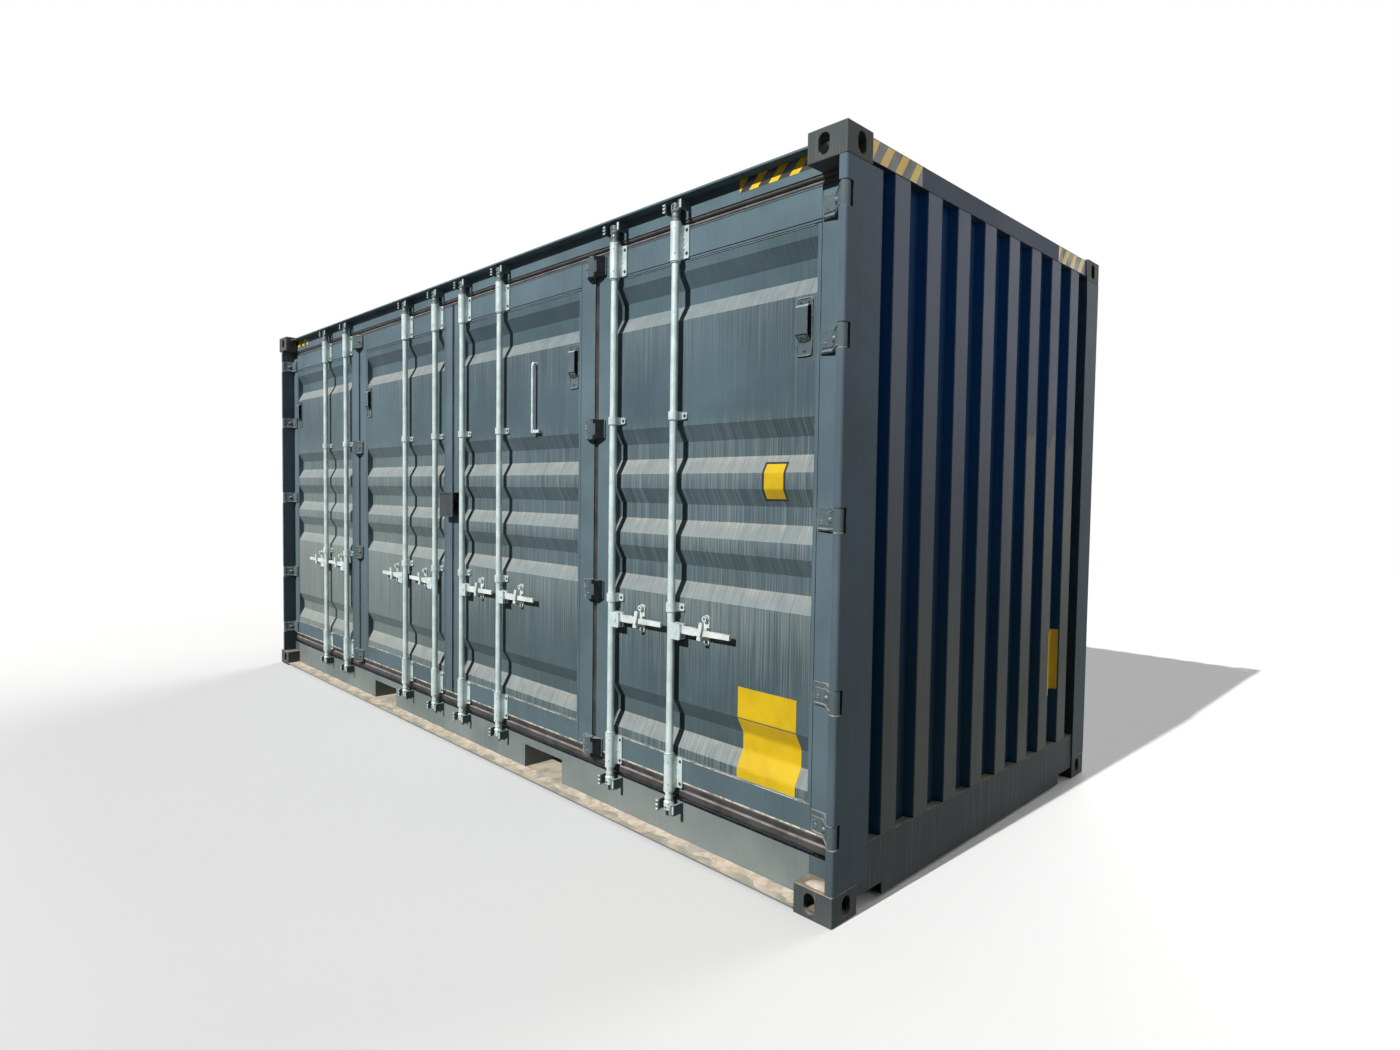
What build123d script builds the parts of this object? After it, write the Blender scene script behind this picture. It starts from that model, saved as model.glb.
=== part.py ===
from build123d import *
import os

os.makedirs("parts", exist_ok=True)

# Whole container: a twenty-foot high-cube box, millimetres, X along the length, doors on the -Y side
box_length = 6058
box_width = 2438
box_height = 2896
half_length = box_length / 2
half_width = box_width / 2
rail_lift = 12
skin = 4
plate = 8
touch = 1

# Corner castings
casting_length = 178
casting_width = 162
casting_height = 118
casting_wall = 16
casting_slot_plate = 28
casting_inner_plate = 12
casting_edge_radius = 5
slot_length = 124
slot_width = 63.5
slot_from_end = 102.5
slot_from_side = 89.5
side_hole_width = 51
side_hole_height = 79.5
top_casting_z = box_height - casting_height
rail_end_x = half_length - casting_length
casting_inner_y = half_width - casting_width

# Door side: the leaves lie well behind the castings, with room for the lock rods
door_recess = 95
face_y = -half_width + door_recess
leaf_thickness = 54
sill_top = 190
sill_gap = 15
seal_low = sill_top + sill_gap
leaf_bottom = seal_low + 72
roof_low = box_height - 39
top_rail_bottom = roof_low - 79
top_flange_z = roof_low + 7
leaf_top = top_rail_bottom - 40
leaf_middle = (leaf_bottom + leaf_top) / 2
leaf_low_rail = 114
leaf_high_rail = 141
low_rail_top = leaf_bottom + leaf_low_rail
high_rail_low = leaf_top - leaf_high_rail
leaf_end_gap = 89
leaf_outer_edge = half_length - leaf_end_gap
fold_seam_shift = 13
fold_seam_x = leaf_outer_edge / 2 + fold_seam_shift
seam_half_gap = 17
centre_half_gap = 14
post_stile = 102
fold_stile = 132
centre_stile = 104
panel_step = 1.5
panel_sheet = 3
groove_depth = 38.5
groove_slope = 70
groove_height = 212
groove_top_drop = 184
groove_upper_rise = 370
groove_middle_rise = 92
groove_lower_drop = 181
groove_foot_rise = 368
groove_tops = [leaf_top - groove_top_drop, leaf_middle + groove_upper_rise, leaf_middle + groove_middle_rise,
               leaf_middle - groove_lower_drop, leaf_bottom + groove_foot_rise]

# Front corner posts
post_face_width = 227
post_strip_width = 33
post_corner_radius = 12
post_jamb_inner = 161
post_jamb_gap = 10
post_wall = 8
post_corner_bar = 52
left_post_setback = 45
right_outer_x = half_length
left_outer_x = -half_length + left_post_setback
right_strip_x = right_outer_x - post_strip_width
left_strip_x = left_outer_x + post_strip_width
jamb_y = face_y + leaf_thickness + post_jamb_gap
end_front_y = -half_width + post_face_width
back_post_width = casting_width
end_back_y = half_width - back_post_width

# Rails
top_rail_depth = 84
top_flange_reach = 53
rail_flange = 50
back_inset = 6
back_face_y = half_width - back_inset
back_rail_size = 60
floor_top = 182
floor_thickness = 28
pocket_centre = 1025
pocket_width = 360
pocket_top = 148
pocket_sheet = 6
pocket_outer = pocket_width + 2 * pocket_sheet
end_inset = 8
end_face_x = half_length - end_inset
end_rail_top = box_height - 14
end_rail_low = end_rail_top - 82
end_sill_top = 250
end_rail_width = 60
end_notch_width = 180
end_notch_top = 62

# Hinges: the side leaves hang from the posts and fold in pairs
post_hinge_height = 86
post_hinge_low = leaf_bottom + 56
post_hinge_high = leaf_top - 93
post_hinge_step = 496
post_hinge_middle = (post_hinge_low + post_hinge_high) / 2
post_hinge_heights = [post_hinge_low, post_hinge_low + post_hinge_step, post_hinge_middle,
                      post_hinge_high - post_hinge_step, post_hinge_high]
post_notch_height = 92
post_notch_depth = 40
knuckle_radius = 18
knuckle_edge = 1
pin_radius = 9
hinge_ring = 5
blade_press = 4
post_blade_reach = 78
fold_hinge_height = 100
fold_hinge_low = leaf_bottom + 20
fold_hinge_step = (leaf_top - 53 - fold_hinge_low) / 3
fold_pin_stand_off = 30
fold_knuckle_radius = 19
fold_blade_reach = 75

# Lock rods, measured from the wall face behind them, with their guides and keepers
end_leaf_margin = 8
end_leaf_half = -end_front_y - end_leaf_margin
end_rod_near = 172
handle_tip_gap = 58
end_handle_margin = 30
handle_length = (end_leaf_half - end_rod_near - handle_tip_gap - end_handle_margin) / 2
end_rod_far = end_rod_near + handle_length + handle_tip_gap
centre_rod_x = 178
centre_rod_room = 16
centre_rod_pitch = handle_length + handle_tip_gap + centre_rod_room
seam_rod_gap = 177
seam_rod_room = 7
seam_rod_pitch = handle_length + handle_tip_gap + seam_rod_room
rod_distances = [centre_rod_x, centre_rod_x + centre_rod_pitch,
                 fold_seam_x + seam_rod_gap, fold_seam_x + seam_rod_gap + seam_rod_pitch]
rod_positions = [-distance for distance in reversed(rod_distances)] + rod_distances
rod_radius = 17
rod_stand_off = 35
guide_bore = rod_radius + 1.5
guide_radius = 24
guide_flange_half = 55
guide_flange = 8
guide_corner = 8
guide_margin = 6
guide_on_rail = 4
guide_short = 40
guide_upper_height = 36
guide_lower_z = 1050
guide_upper_drop = 836
guide_tall = 149
guide_over_leaf = 15
guide_under_leaf = 27
guide_upper_z = leaf_top - guide_upper_drop
guide_top_z = leaf_top + guide_over_leaf
guide_spans = [(leaf_bottom - guide_under_leaf, low_rail_top + guide_on_rail),
               (guide_lower_z, guide_lower_z + guide_short),
               (guide_upper_z, guide_upper_z + guide_upper_height), (guide_top_z - guide_tall, guide_top_z)]
collar_radius = 25
collar_height = 10
collar_gap = 0.3
cam_low_z = sill_top - 16
cam_high_z = top_rail_bottom + 44
cam_flange = 8
cam_reach = 28
cam_lobe_half = 9
cam_hub_radius = 20
cam_hub_height = 14
cam_tooth = 7
keeper_base = 6
keeper_half_width = 58
keeper_lug = 10
keeper_base_gap = 6
keeper_near = 16
keeper_low_reach = 32
keeper_high_reach = 24
keeper_reach = 62
keeper_claw = 9
keeper_claw_inner = 40

# Handles and their catches
pivot_z = 970
pivot_offset = 48
rivet_radius = 7
rivet_head_radius = 10
rivet_head = 3
rivet_clearance = 0.5
hub_low = 932
hub_high = 1004
hub_start = 12
hub_reach = 76
hub_half_depth = 19
hub_corner = 8
hub_slot_start = rod_radius + 3
handle_thickness = 12
handle_gap = 0.5
handle_start = 37
handle_neck = 150
handle_taper = 30
handle_low = 961
handle_high = 996
handle_tip_low = handle_low + 8
handle_tip_high = handle_high - 4
handle_corner = 3
catch_offset = 195
catch_width = 34
catch_low = 920
catch_high = 1054
catch_plate = 6
catch_hole = 6.5
catch_ledge = 14
catch_seat_gap = 0.5
catch_boss_reach = 23
catch_boss_radius = 13
hook_gap = 5
hook_thickness = 7
hook_width = 15
hook_lean = 20
hook_top = 1026

# Right end wall
end_sheet = 3
end_depth = 40
end_rib = 108
end_slope = 18
end_pitch = 248
end_step = 2

# Back wall
wall_pitch = 278
wall_outer = 72
wall_slope = 68
wall_depth = 36
wall_sheet = 3

# Roof
roof_height = 20
roof_sheet = 3
roof_pitch = 209
roof_ridge = 91
roof_slope = 14
roof_edge_lap = 14

# Left end doors
end_recess = 105
end_leaf_x = -half_length + end_recess
end_leaf_low = sill_top
end_leaf_drop = 196
end_leaf_high = box_height - end_leaf_drop
end_leaf_front = end_front_y + end_leaf_margin
end_leaf_back = end_back_y - end_leaf_margin
end_leaf_gap = 10
end_frame_width = 90
end_beam_gap = 12
end_guide_tall = 145
end_guide_low_z = end_leaf_low + 60
end_guide_top_z = end_leaf_high - 15
end_guide_spans = [(end_guide_low_z, end_guide_low_z + end_guide_tall), guide_spans[1], guide_spans[2],
                   (end_guide_top_z - end_guide_tall, end_guide_top_z)]
end_hinge_height = 100
end_hinge_low = 515
end_hinge_drop = 413
end_hinge_high = box_height - end_hinge_drop
end_hinge_count = 4
end_pin_inset = 18

# Under the floor
member_height = 118
member_width = 45
member_pitch = 320
pocket_to_member = 345

# Fittings on the leaves
vent_spots = [-leaf_outer_edge + 156, -fold_seam_x + 188, fold_seam_x - 188, leaf_outer_edge - 156]
vent_width = 75
vent_corner = 8
vent_plate = 4
vent_drop = 408
vent_height = 222
vent_high = leaf_top - vent_drop
vent_low = vent_high - vent_height
vent_margin = 8
vent_hood_reach = 26
vent_hood_top = vent_high - 30
vent_hood_front_low = vent_high - 140
vent_hood_low = vent_high - 170
vent_grille_depth = 3
box_low_x = -65
box_high_x = 105
box_low_z = 1411
box_high_z = 1563
box_reach = 60
box_sheet = 5
box_lip = 12
staple_radius = 14
staple_bar = 4
staple_bite = 3
tube_from_seam = 543
tube_drop = 473
tube_length = 370
tube_x = fold_seam_x - tube_from_seam
tube_high = leaf_top - tube_drop
tube_low = tube_high - tube_length
tube_radius = 8
tube_stand_off = 24
tube_bracket = 67
tube_bracket_height = 16
eye_radius = 10


def side_spot(along):
    """Place on the door side: local x runs along the wall, local -y points outwards."""
    return Location((along, face_y, 0))


def end_spot(along):
    """Place on the left end doors, turned so that local -y points outwards there."""
    return Location((end_leaf_x, along, 0), (0, 0, -90))


def corner_castings(low_z, slot_z):
    """Four hollow castings at one level; slot_z is the face that holds the twistlock slot."""
    hollow_low = low_z + (casting_slot_plate if slot_z == low_z else casting_inner_plate)
    hollow_height = casting_height - casting_slot_plate - casting_inner_plate
    middle_z = low_z + casting_height / 2
    with BuildPart() as castings:
        for end in (-1, 1):
            middle_x = end * (half_length - casting_length / 2)
            hole_x = end * (half_length - slot_from_end)
            for edge in (-1, 1):
                middle_y = edge * (half_width - casting_width / 2)
                hole_y = edge * (half_width - slot_from_side)
                with Locations((middle_x, middle_y, middle_z)):
                    block = Box(casting_length, casting_width, casting_height)
                fillet(block.edges(), casting_edge_radius)
                with Locations((middle_x, middle_y, hollow_low + hollow_height / 2)):
                    Box(casting_length - 2 * casting_wall, casting_width - 2 * casting_wall, hollow_height,
                        mode=Mode.SUBTRACT)
                with BuildSketch(Plane.XY.offset(slot_z)) as slot:
                    with Locations((hole_x, hole_y)):
                        SlotOverall(slot_length, slot_width)
                extrude(amount=casting_slot_plate, both=True, mode=Mode.SUBTRACT)
                with BuildSketch(Plane.XZ.offset(-edge * half_width)) as side_hole:
                    with Locations((hole_x, middle_z)):
                        SlotOverall(side_hole_height, side_hole_width, rotation=90)
                extrude(amount=casting_wall + touch, both=True, mode=Mode.SUBTRACT)
                with BuildSketch(Plane.YZ.offset(end * half_length)) as end_hole:
                    with Locations((hole_y, middle_z)):
                        SlotOverall(side_hole_height, side_hole_width, rotation=90)
                extrude(amount=casting_wall + touch, both=True, mode=Mode.SUBTRACT)
    return castings.part


def front_post(side, outer_x):
    """Door-side corner post: rolled corner bar, jamb step behind the leaf, foot plate above the casting."""
    strip_x = outer_x - side * post_strip_width
    inner_x = side * (half_length - post_jamb_inner)
    bar_y = -half_width + post_corner_bar
    with BuildPart() as post:
        with BuildSketch(Plane.XY.offset(casting_height)) as outline:
            with BuildLine() as edge:
                Polyline((outer_x, end_front_y), (outer_x, -half_width), (strip_x, -half_width),
                         (strip_x, jamb_y), (inner_x, jamb_y), (inner_x, end_front_y), close=True)
            make_face()
            corner = outline.vertices().sort_by_distance((outer_x, -half_width, casting_height))[0]
            fillet(corner, post_corner_radius)
            with BuildLine() as hollow_edge:
                Polyline((outer_x - side * post_wall, end_front_y - post_wall),
                         (outer_x - side * post_wall, bar_y),
                         (strip_x + side * post_wall, bar_y),
                         (strip_x + side * post_wall, jamb_y + post_wall),
                         (inner_x + side * post_wall, jamb_y + post_wall),
                         (inner_x + side * post_wall, end_front_y - post_wall), close=True)
            make_face(mode=Mode.SUBTRACT)
        extrude(amount=top_casting_z - casting_height)
        foot_x = side * rail_end_x
        with Locations(((foot_x + strip_x) / 2, face_y + plate / 2, (casting_height + sill_top) / 2)):
            Box(abs(strip_x - foot_x), plate, sill_top - casting_height)
        for height in post_hinge_heights:
            with Locations((outer_x - side * post_strip_width / 2, -half_width + post_notch_depth / 2,
                            height)):
                Box(post_strip_width + 2 * touch, post_notch_depth + touch, post_notch_height,
                    mode=Mode.SUBTRACT)
    return post.part


def leaf_frame(low_x, high_x, stiles, levels):
    """Tube frame of a door leaf in wall coordinates; levels are its bottom, rail edges and top."""
    bottom, rail_top, rail_low, top = levels
    open_low = low_x + stiles[0]
    open_high = high_x - stiles[1]
    middle_y = leaf_thickness / 2
    with BuildPart() as frame:
        with Locations(((low_x + high_x) / 2, middle_y, (bottom + top) / 2)):
            Box(high_x - low_x, leaf_thickness, top - bottom)
        with Locations(((open_low + open_high) / 2, middle_y, (rail_top + rail_low) / 2)):
            Box(open_high - open_low, leaf_thickness + touch, rail_low - rail_top, mode=Mode.SUBTRACT)
        for tube_low, tube_high in ((low_x, open_low), (open_high, high_x)):
            with Locations(((tube_low + tube_high) / 2, middle_y, (bottom + top) / 2)):
                Box(tube_high - tube_low - 2 * skin, leaf_thickness - 2 * skin, top - bottom - 2 * skin,
                    mode=Mode.SUBTRACT)
        for tube_low, tube_high in ((bottom, rail_top), (rail_low, top)):
            with Locations(((open_low + open_high) / 2, middle_y, (tube_low + tube_high) / 2)):
                Box(open_high - open_low, leaf_thickness - 2 * skin, tube_high - tube_low - 2 * skin,
                    mode=Mode.SUBTRACT)
    return frame.part


def leaf_panel(low_x, high_x, low_z, high_z):
    """Pressed sheet with level grooves, in wall coordinates, a step behind the frame's face."""
    outer = [(panel_step, high_z)]
    for top in groove_tops:
        outer.append((panel_step, top))
        outer.append((panel_step + groove_depth, top - groove_slope))
        outer.append((panel_step + groove_depth, top - groove_height + groove_slope))
        outer.append((panel_step, top - groove_height))
    outer.append((panel_step, low_z))
    behind = [(depth + panel_sheet, height) for depth, height in reversed(outer)]
    with BuildPart() as panel:
        with BuildSketch(Plane.YZ.offset(low_x)) as section:
            with BuildLine() as profile:
                Polyline(*outer, *behind, close=True)
            make_face()
        extrude(amount=high_x - low_x)
    return panel.part


def lock_rod(side, spans):
    """Rod in wall coordinates: collars at its end sleeves, toothed cams, and the forked handle hub."""
    low_end = cam_low_z - cam_hub_height - cam_tooth
    high_end = cam_high_z + cam_hub_height + cam_tooth
    collar_spots = []
    for low_z, high_z in (spans[0], spans[-1]):
        collar_spots.append(low_z - collar_gap - collar_height)
        collar_spots.append(high_z + collar_gap)
    hub_middle = side * (hub_start + hub_reach) / 2
    hub_z = (hub_low + hub_high) / 2
    slot_end = hub_reach + touch
    with BuildPart() as rod:
        with BuildSketch(Plane.XY.offset(low_end)) as round_bar:
            with Locations((0, -rod_stand_off)):
                Circle(rod_radius)
        extrude(amount=high_end - low_end)
        for collar_z in collar_spots:
            with BuildSketch(Plane.XY.offset(collar_z)) as collar:
                with Locations((0, -rod_stand_off)):
                    Circle(collar_radius)
            extrude(amount=collar_height)
        for cam_z, away in ((cam_low_z, -1), (cam_high_z, 1)):
            with BuildSketch(Plane.XY.offset(cam_z)) as ears:
                with Locations((0, -rod_stand_off)):
                    SlotOverall(2 * cam_reach, 2 * cam_lobe_half)
            extrude(amount=-away * cam_flange)
            with BuildSketch(Plane.XY.offset(cam_z)) as crown:
                with Locations((0, -rod_stand_off)):
                    Circle(cam_hub_radius)
            extrude(amount=away * (cam_hub_height + cam_tooth))
            with BuildSketch(Plane.XY.offset(cam_z + away * cam_hub_height)) as gaps:
                with Locations((0, -rod_stand_off)):
                    Rectangle(cam_lobe_half, 2 * cam_hub_radius + touch)
                    Rectangle(2 * cam_hub_radius + touch, cam_lobe_half)
            extrude(amount=away * (cam_tooth + touch), mode=Mode.SUBTRACT)
        with BuildSketch(Plane.XZ.offset(rod_stand_off)) as hub:
            with Locations((hub_middle, hub_z)):
                RectangleRounded(hub_reach - hub_start, hub_high - hub_low, hub_corner)
        extrude(amount=hub_half_depth, both=True)
        with Locations((side * (hub_slot_start + slot_end) / 2, -rod_stand_off, hub_z)):
            Box(slot_end - hub_slot_start, handle_thickness + 2 * handle_gap, hub_high - hub_low + 2 * touch,
                mode=Mode.SUBTRACT)
        with BuildSketch(Plane.XZ.offset(rod_stand_off)) as rivet:
            with Locations((side * pivot_offset, pivot_z)):
                Circle(rivet_radius)
        extrude(amount=hub_half_depth, both=True)
        for face in (-1, 1):
            with BuildSketch(Plane.XZ.offset(rod_stand_off + face * hub_half_depth)) as rivet_end:
                with Locations((side * pivot_offset, pivot_z)):
                    Circle(rivet_head_radius)
            extrude(amount=face * rivet_head)
    return rod.part


def handle(side):
    """Flat swing handle in wall coordinates, bored for the hub's rivet and drawn in towards its tip."""
    shoulder = handle_neck + handle_taper
    with BuildPart() as lever:
        with BuildSketch(Plane.XZ.offset(rod_stand_off)) as outline:
            with BuildLine() as edge:
                Polyline((side * handle_start, handle_low), (side * handle_neck, handle_low),
                         (side * shoulder, handle_tip_low - 3), (side * handle_length, handle_tip_low),
                         (side * handle_length, handle_tip_high), (side * shoulder, handle_tip_high),
                         (side * handle_neck, handle_high), (side * handle_start, handle_high), close=True)
            make_face()
            fillet(outline.vertices(), handle_corner)
            with Locations((side * pivot_offset, pivot_z)):
                Circle(rivet_radius + rivet_clearance, mode=Mode.SUBTRACT)
        extrude(amount=handle_thickness / 2, both=True)
    return lever.part


def rod_guide(low_z, high_z, seat):
    """Bearing sleeve in wall coordinates; seat is how far behind the frame's face its plate rests."""
    with BuildPart() as guide:
        with BuildSketch(Plane.XZ.offset(-seat)) as foot:
            with Locations((0, (low_z + high_z) / 2)):
                RectangleRounded(2 * guide_flange_half, high_z - low_z - guide_margin, guide_corner)
        extrude(amount=guide_flange + seat)
        with BuildSketch(Plane.XY.offset(low_z)) as hat:
            with Locations((0, -rod_stand_off / 2)):
                Rectangle(2 * guide_radius, rod_stand_off)
            with Locations((0, -rod_stand_off)):
                Circle(guide_radius)
                Circle(guide_bore, mode=Mode.SUBTRACT)
        extrude(amount=high_z - low_z)
    return guide.part


def rod_keeper(cam_z, away, reach):
    """Keeper in wall coordinates: a back plate beyond the cam's ears and two clawed lugs beside them."""
    claw_y = -keeper_reach + keeper_claw
    lug_low, lug_high = sorted((cam_z + away * reach, cam_z - away * keeper_near))
    plate_low, plate_high = sorted((cam_z + away * reach, cam_z + away * keeper_base_gap))
    with BuildPart() as keeper:
        with Locations((0, -keeper_base / 2, (plate_low + plate_high) / 2)):
            Box(2 * keeper_half_width, keeper_base, plate_high - plate_low)
        with BuildSketch(Plane.XY.offset(lug_low)) as plan:
            for edge in (-1, 1):
                outer = edge * keeper_half_width
                inner = edge * (keeper_half_width - keeper_lug)
                with BuildLine() as lug:
                    Polyline((outer, 0), (outer, -keeper_reach + keeper_claw / 2),
                             (outer - edge * keeper_claw / 2, -keeper_reach),
                             (edge * keeper_claw_inner, -keeper_reach), (edge * keeper_claw_inner, claw_y),
                             (inner, claw_y), (inner, 0), close=True)
                make_face()
        extrude(amount=lug_high - lug_low)
    return keeper.part


def handle_catch(side):
    """Handle rest in wall coordinates: slotted-end plate, ledge, leaning front hook and upper pad."""
    spot = side * catch_offset
    ledge_top = handle_low - catch_seat_gap
    hook_front = rod_stand_off + handle_thickness / 2 + hook_gap
    hook_reach = hook_front + hook_thickness
    pad_z = catch_high - catch_width / 2
    with BuildPart() as catch:
        with BuildSketch(Plane.XZ.offset(-panel_step)) as base:
            with Locations((spot, (catch_low + catch_high) / 2)):
                SlotOverall(catch_high - catch_low, catch_width, rotation=90)
        extrude(amount=catch_plate + panel_step)
        with BuildSketch(Plane.XZ) as pad:
            with Locations((spot, pad_z)):
                Circle(catch_boss_radius)
        extrude(amount=catch_boss_reach)
        with Locations((spot, -hook_reach / 2, ledge_top - catch_ledge / 2)):
            Box(hook_lean, hook_reach, catch_ledge)
        with BuildSketch(Plane.XZ.offset(hook_front)) as hook:
            with BuildLine() as outline:
                Polyline((spot - side * hook_width, ledge_top - catch_ledge),
                         (spot, ledge_top - catch_ledge),
                         (spot + side * hook_lean, hook_top - hook_width / 2),
                         (spot + side * hook_width, hook_top),
                         (spot, hook_top), close=True)
            make_face()
            fillet(hook.vertices(), 2)
        extrude(amount=hook_thickness)
        with BuildSketch(Plane.XZ) as holes:
            with Locations((spot, pad_z), (spot, catch_low + catch_width / 2)):
                Circle(catch_hole)
        extrude(amount=catch_boss_reach + touch, both=True, mode=Mode.SUBTRACT)
    return catch.part


rod_sides = [-1 if x < 0 else 1 for x in rod_positions]
end_middle_y = (end_leaf_front + end_leaf_back) / 2
end_rods = [(end_middle_y - end_rod_far, 1), (end_middle_y - end_rod_near, 1),
            (end_middle_y + end_rod_near, -1), (end_middle_y + end_rod_far, -1)]

pieces = {}
pieces["bottom_castings"] = corner_castings(0, 0)
pieces["top_castings"] = corner_castings(top_casting_z, box_height)
pieces["front_right_post"] = front_post(1, right_outer_x)
pieces["front_left_post"] = front_post(-1, left_outer_x)

with BuildPart() as back_posts:
    for outer_x, inner_x in ((right_outer_x, rail_end_x), (left_outer_x, -rail_end_x)):
        with BuildSketch(Plane.XY.offset(casting_height)) as outline:
            with Locations(((outer_x + inner_x) / 2, half_width - back_post_width / 2)):
                Rectangle(abs(outer_x - inner_x), back_post_width)
                Rectangle(abs(outer_x - inner_x) - 2 * post_wall, back_post_width - 2 * post_wall,
                          mode=Mode.SUBTRACT)
        extrude(amount=top_casting_z - casting_height)
pieces["back_posts"] = back_posts.part

leaf_levels = (leaf_bottom, low_rail_top, high_rail_low, leaf_top)
for name, low_x, high_x, stiles in (
        ("side_leaf_1", -leaf_outer_edge, -fold_seam_x - seam_half_gap, (post_stile, fold_stile)),
        ("side_leaf_2", -fold_seam_x + seam_half_gap, -centre_half_gap, (fold_stile, centre_stile)),
        ("side_leaf_3", centre_half_gap, fold_seam_x - seam_half_gap, (centre_stile, fold_stile)),
        ("side_leaf_4", fold_seam_x + seam_half_gap, leaf_outer_edge, (fold_stile, post_stile))):
    pieces[name + "_frame"] = leaf_frame(low_x, high_x, stiles, leaf_levels).moved(side_spot(0))
    panel = leaf_panel(low_x + stiles[0], high_x - stiles[1], low_rail_top, high_rail_low)
    pieces[name + "_panel"] = panel.moved(side_spot(0))

rods = {side: lock_rod(side, guide_spans) for side in (-1, 1)}
levers = {side: handle(side) for side in (-1, 1)}
for number, (axis_x, side) in enumerate(zip(rod_positions, rod_sides), start=1):
    pieces["lock_rod_" + str(number)] = rods[side].moved(side_spot(axis_x))
    pieces["handle_" + str(number)] = levers[side].moved(side_spot(axis_x))

with BuildPart() as front_top_rail:
    with BuildSketch(Plane.YZ.offset(-rail_end_x)) as section:
        with BuildLine() as profile:
            Polyline((face_y - top_flange_reach, top_flange_z),
                     (face_y - top_flange_reach, top_flange_z + plate),
                     (face_y + plate, top_flange_z + plate), (face_y + plate, roof_low),
                     (face_y + top_rail_depth, roof_low), (face_y + top_rail_depth, top_rail_bottom),
                     (face_y, top_rail_bottom), (face_y, top_flange_z), close=True)
        make_face()
        with Locations((face_y + top_rail_depth / 2, (top_rail_bottom + roof_low) / 2)):
            Rectangle(top_rail_depth - 2 * plate, roof_low - top_rail_bottom - 2 * plate, mode=Mode.SUBTRACT)
    extrude(amount=2 * rail_end_x)
pieces["front_top_rail"] = front_top_rail.part

# The bottom rails stop at the fork pockets, which carry the flange and the web on past them
rail_spans = [(-rail_end_x, -pocket_centre - pocket_outer / 2),
              (-pocket_centre + pocket_outer / 2, pocket_centre - pocket_outer / 2),
              (pocket_centre + pocket_outer / 2, rail_end_x)]
with BuildPart() as front_bottom_rail:
    for low_x, high_x in rail_spans:
        with BuildSketch(Plane.YZ.offset(low_x)) as section:
            with BuildLine() as profile:
                Polyline((-half_width, rail_lift), (-half_width, rail_lift + plate),
                         (face_y, rail_lift + plate),
                         (face_y, sill_top), (face_y + top_rail_depth, sill_top),
                         (face_y + top_rail_depth, sill_top - plate), (face_y + plate, sill_top - plate),
                         (face_y + plate, rail_lift), close=True)
            make_face()
        extrude(amount=high_x - low_x)
pieces["front_bottom_rail"] = front_bottom_rail.part

with BuildPart() as back_bottom_rail:
    for low_x, high_x in rail_spans:
        with BuildSketch(Plane.YZ.offset(low_x)) as section:
            with BuildLine() as profile:
                Polyline((back_face_y, rail_lift), (back_face_y, sill_top),
                         (back_face_y - rail_flange, sill_top),
                         (back_face_y - rail_flange, sill_top - plate),
                         (back_face_y - plate, sill_top - plate),
                         (back_face_y - plate, rail_lift + plate),
                         (back_face_y - rail_flange, rail_lift + plate),
                         (back_face_y - rail_flange, rail_lift), close=True)
            make_face()
        extrude(amount=high_x - low_x)
pieces["back_bottom_rail"] = back_bottom_rail.part

with BuildPart() as fork_pocket_floors:
    for side in (-1, 1):
        with Locations((side * pocket_centre, (back_face_y - half_width) / 2, rail_lift + plate / 2)):
            Box(pocket_outer, back_face_y + half_width, plate)
pieces["fork_pocket_floors"] = fork_pocket_floors.part

with BuildPart() as fork_pocket_sides:
    for side in (-1, 1):
        for wall in (-1, 1):
            with Locations((side * pocket_centre + wall * (pocket_width + pocket_sheet) / 2,
                            (face_y + back_face_y) / 2, (rail_lift + plate + pocket_top) / 2)):
                Box(pocket_sheet, back_face_y - face_y, pocket_top - rail_lift - plate)
pieces["fork_pocket_sides"] = fork_pocket_sides.part

with BuildPart() as fork_pocket_tops:
    for side in (-1, 1):
        with BuildSketch(Plane.YZ.offset(side * pocket_centre - pocket_outer / 2)) as section:
            with BuildLine() as profile:
                Polyline((face_y, pocket_top), (face_y, sill_top), (face_y + top_rail_depth, sill_top),
                         (face_y + top_rail_depth, sill_top - plate), (face_y + plate, sill_top - plate),
                         (face_y + plate, pocket_top + pocket_sheet),
                         (back_face_y - plate, pocket_top + pocket_sheet),
                         (back_face_y - plate, sill_top - plate),
                         (back_face_y - rail_flange, sill_top - plate),
                         (back_face_y - rail_flange, sill_top),
                         (back_face_y, sill_top), (back_face_y, pocket_top), close=True)
            make_face()
        extrude(amount=pocket_outer)
pieces["fork_pocket_tops"] = fork_pocket_tops.part

with BuildPart() as back_top_rail:
    with Locations((0, back_face_y - back_rail_size / 2, roof_low - back_rail_size / 2)):
        Box(2 * rail_end_x, back_rail_size, back_rail_size)
        Box(2 * rail_end_x, back_rail_size - 2 * skin, back_rail_size - 2 * skin, mode=Mode.SUBTRACT)
pieces["back_top_rail"] = back_top_rail.part

with BuildPart() as right_top_rail:
    with Locations((end_face_x - end_rail_width / 2, 0, (end_rail_low + end_rail_top) / 2)):
        Box(end_rail_width, 2 * casting_inner_y, end_rail_top - end_rail_low)
        Box(end_rail_width - 2 * skin, 2 * casting_inner_y, end_rail_top - end_rail_low - 2 * skin,
            mode=Mode.SUBTRACT)
pieces["right_top_rail"] = right_top_rail.part

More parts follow.
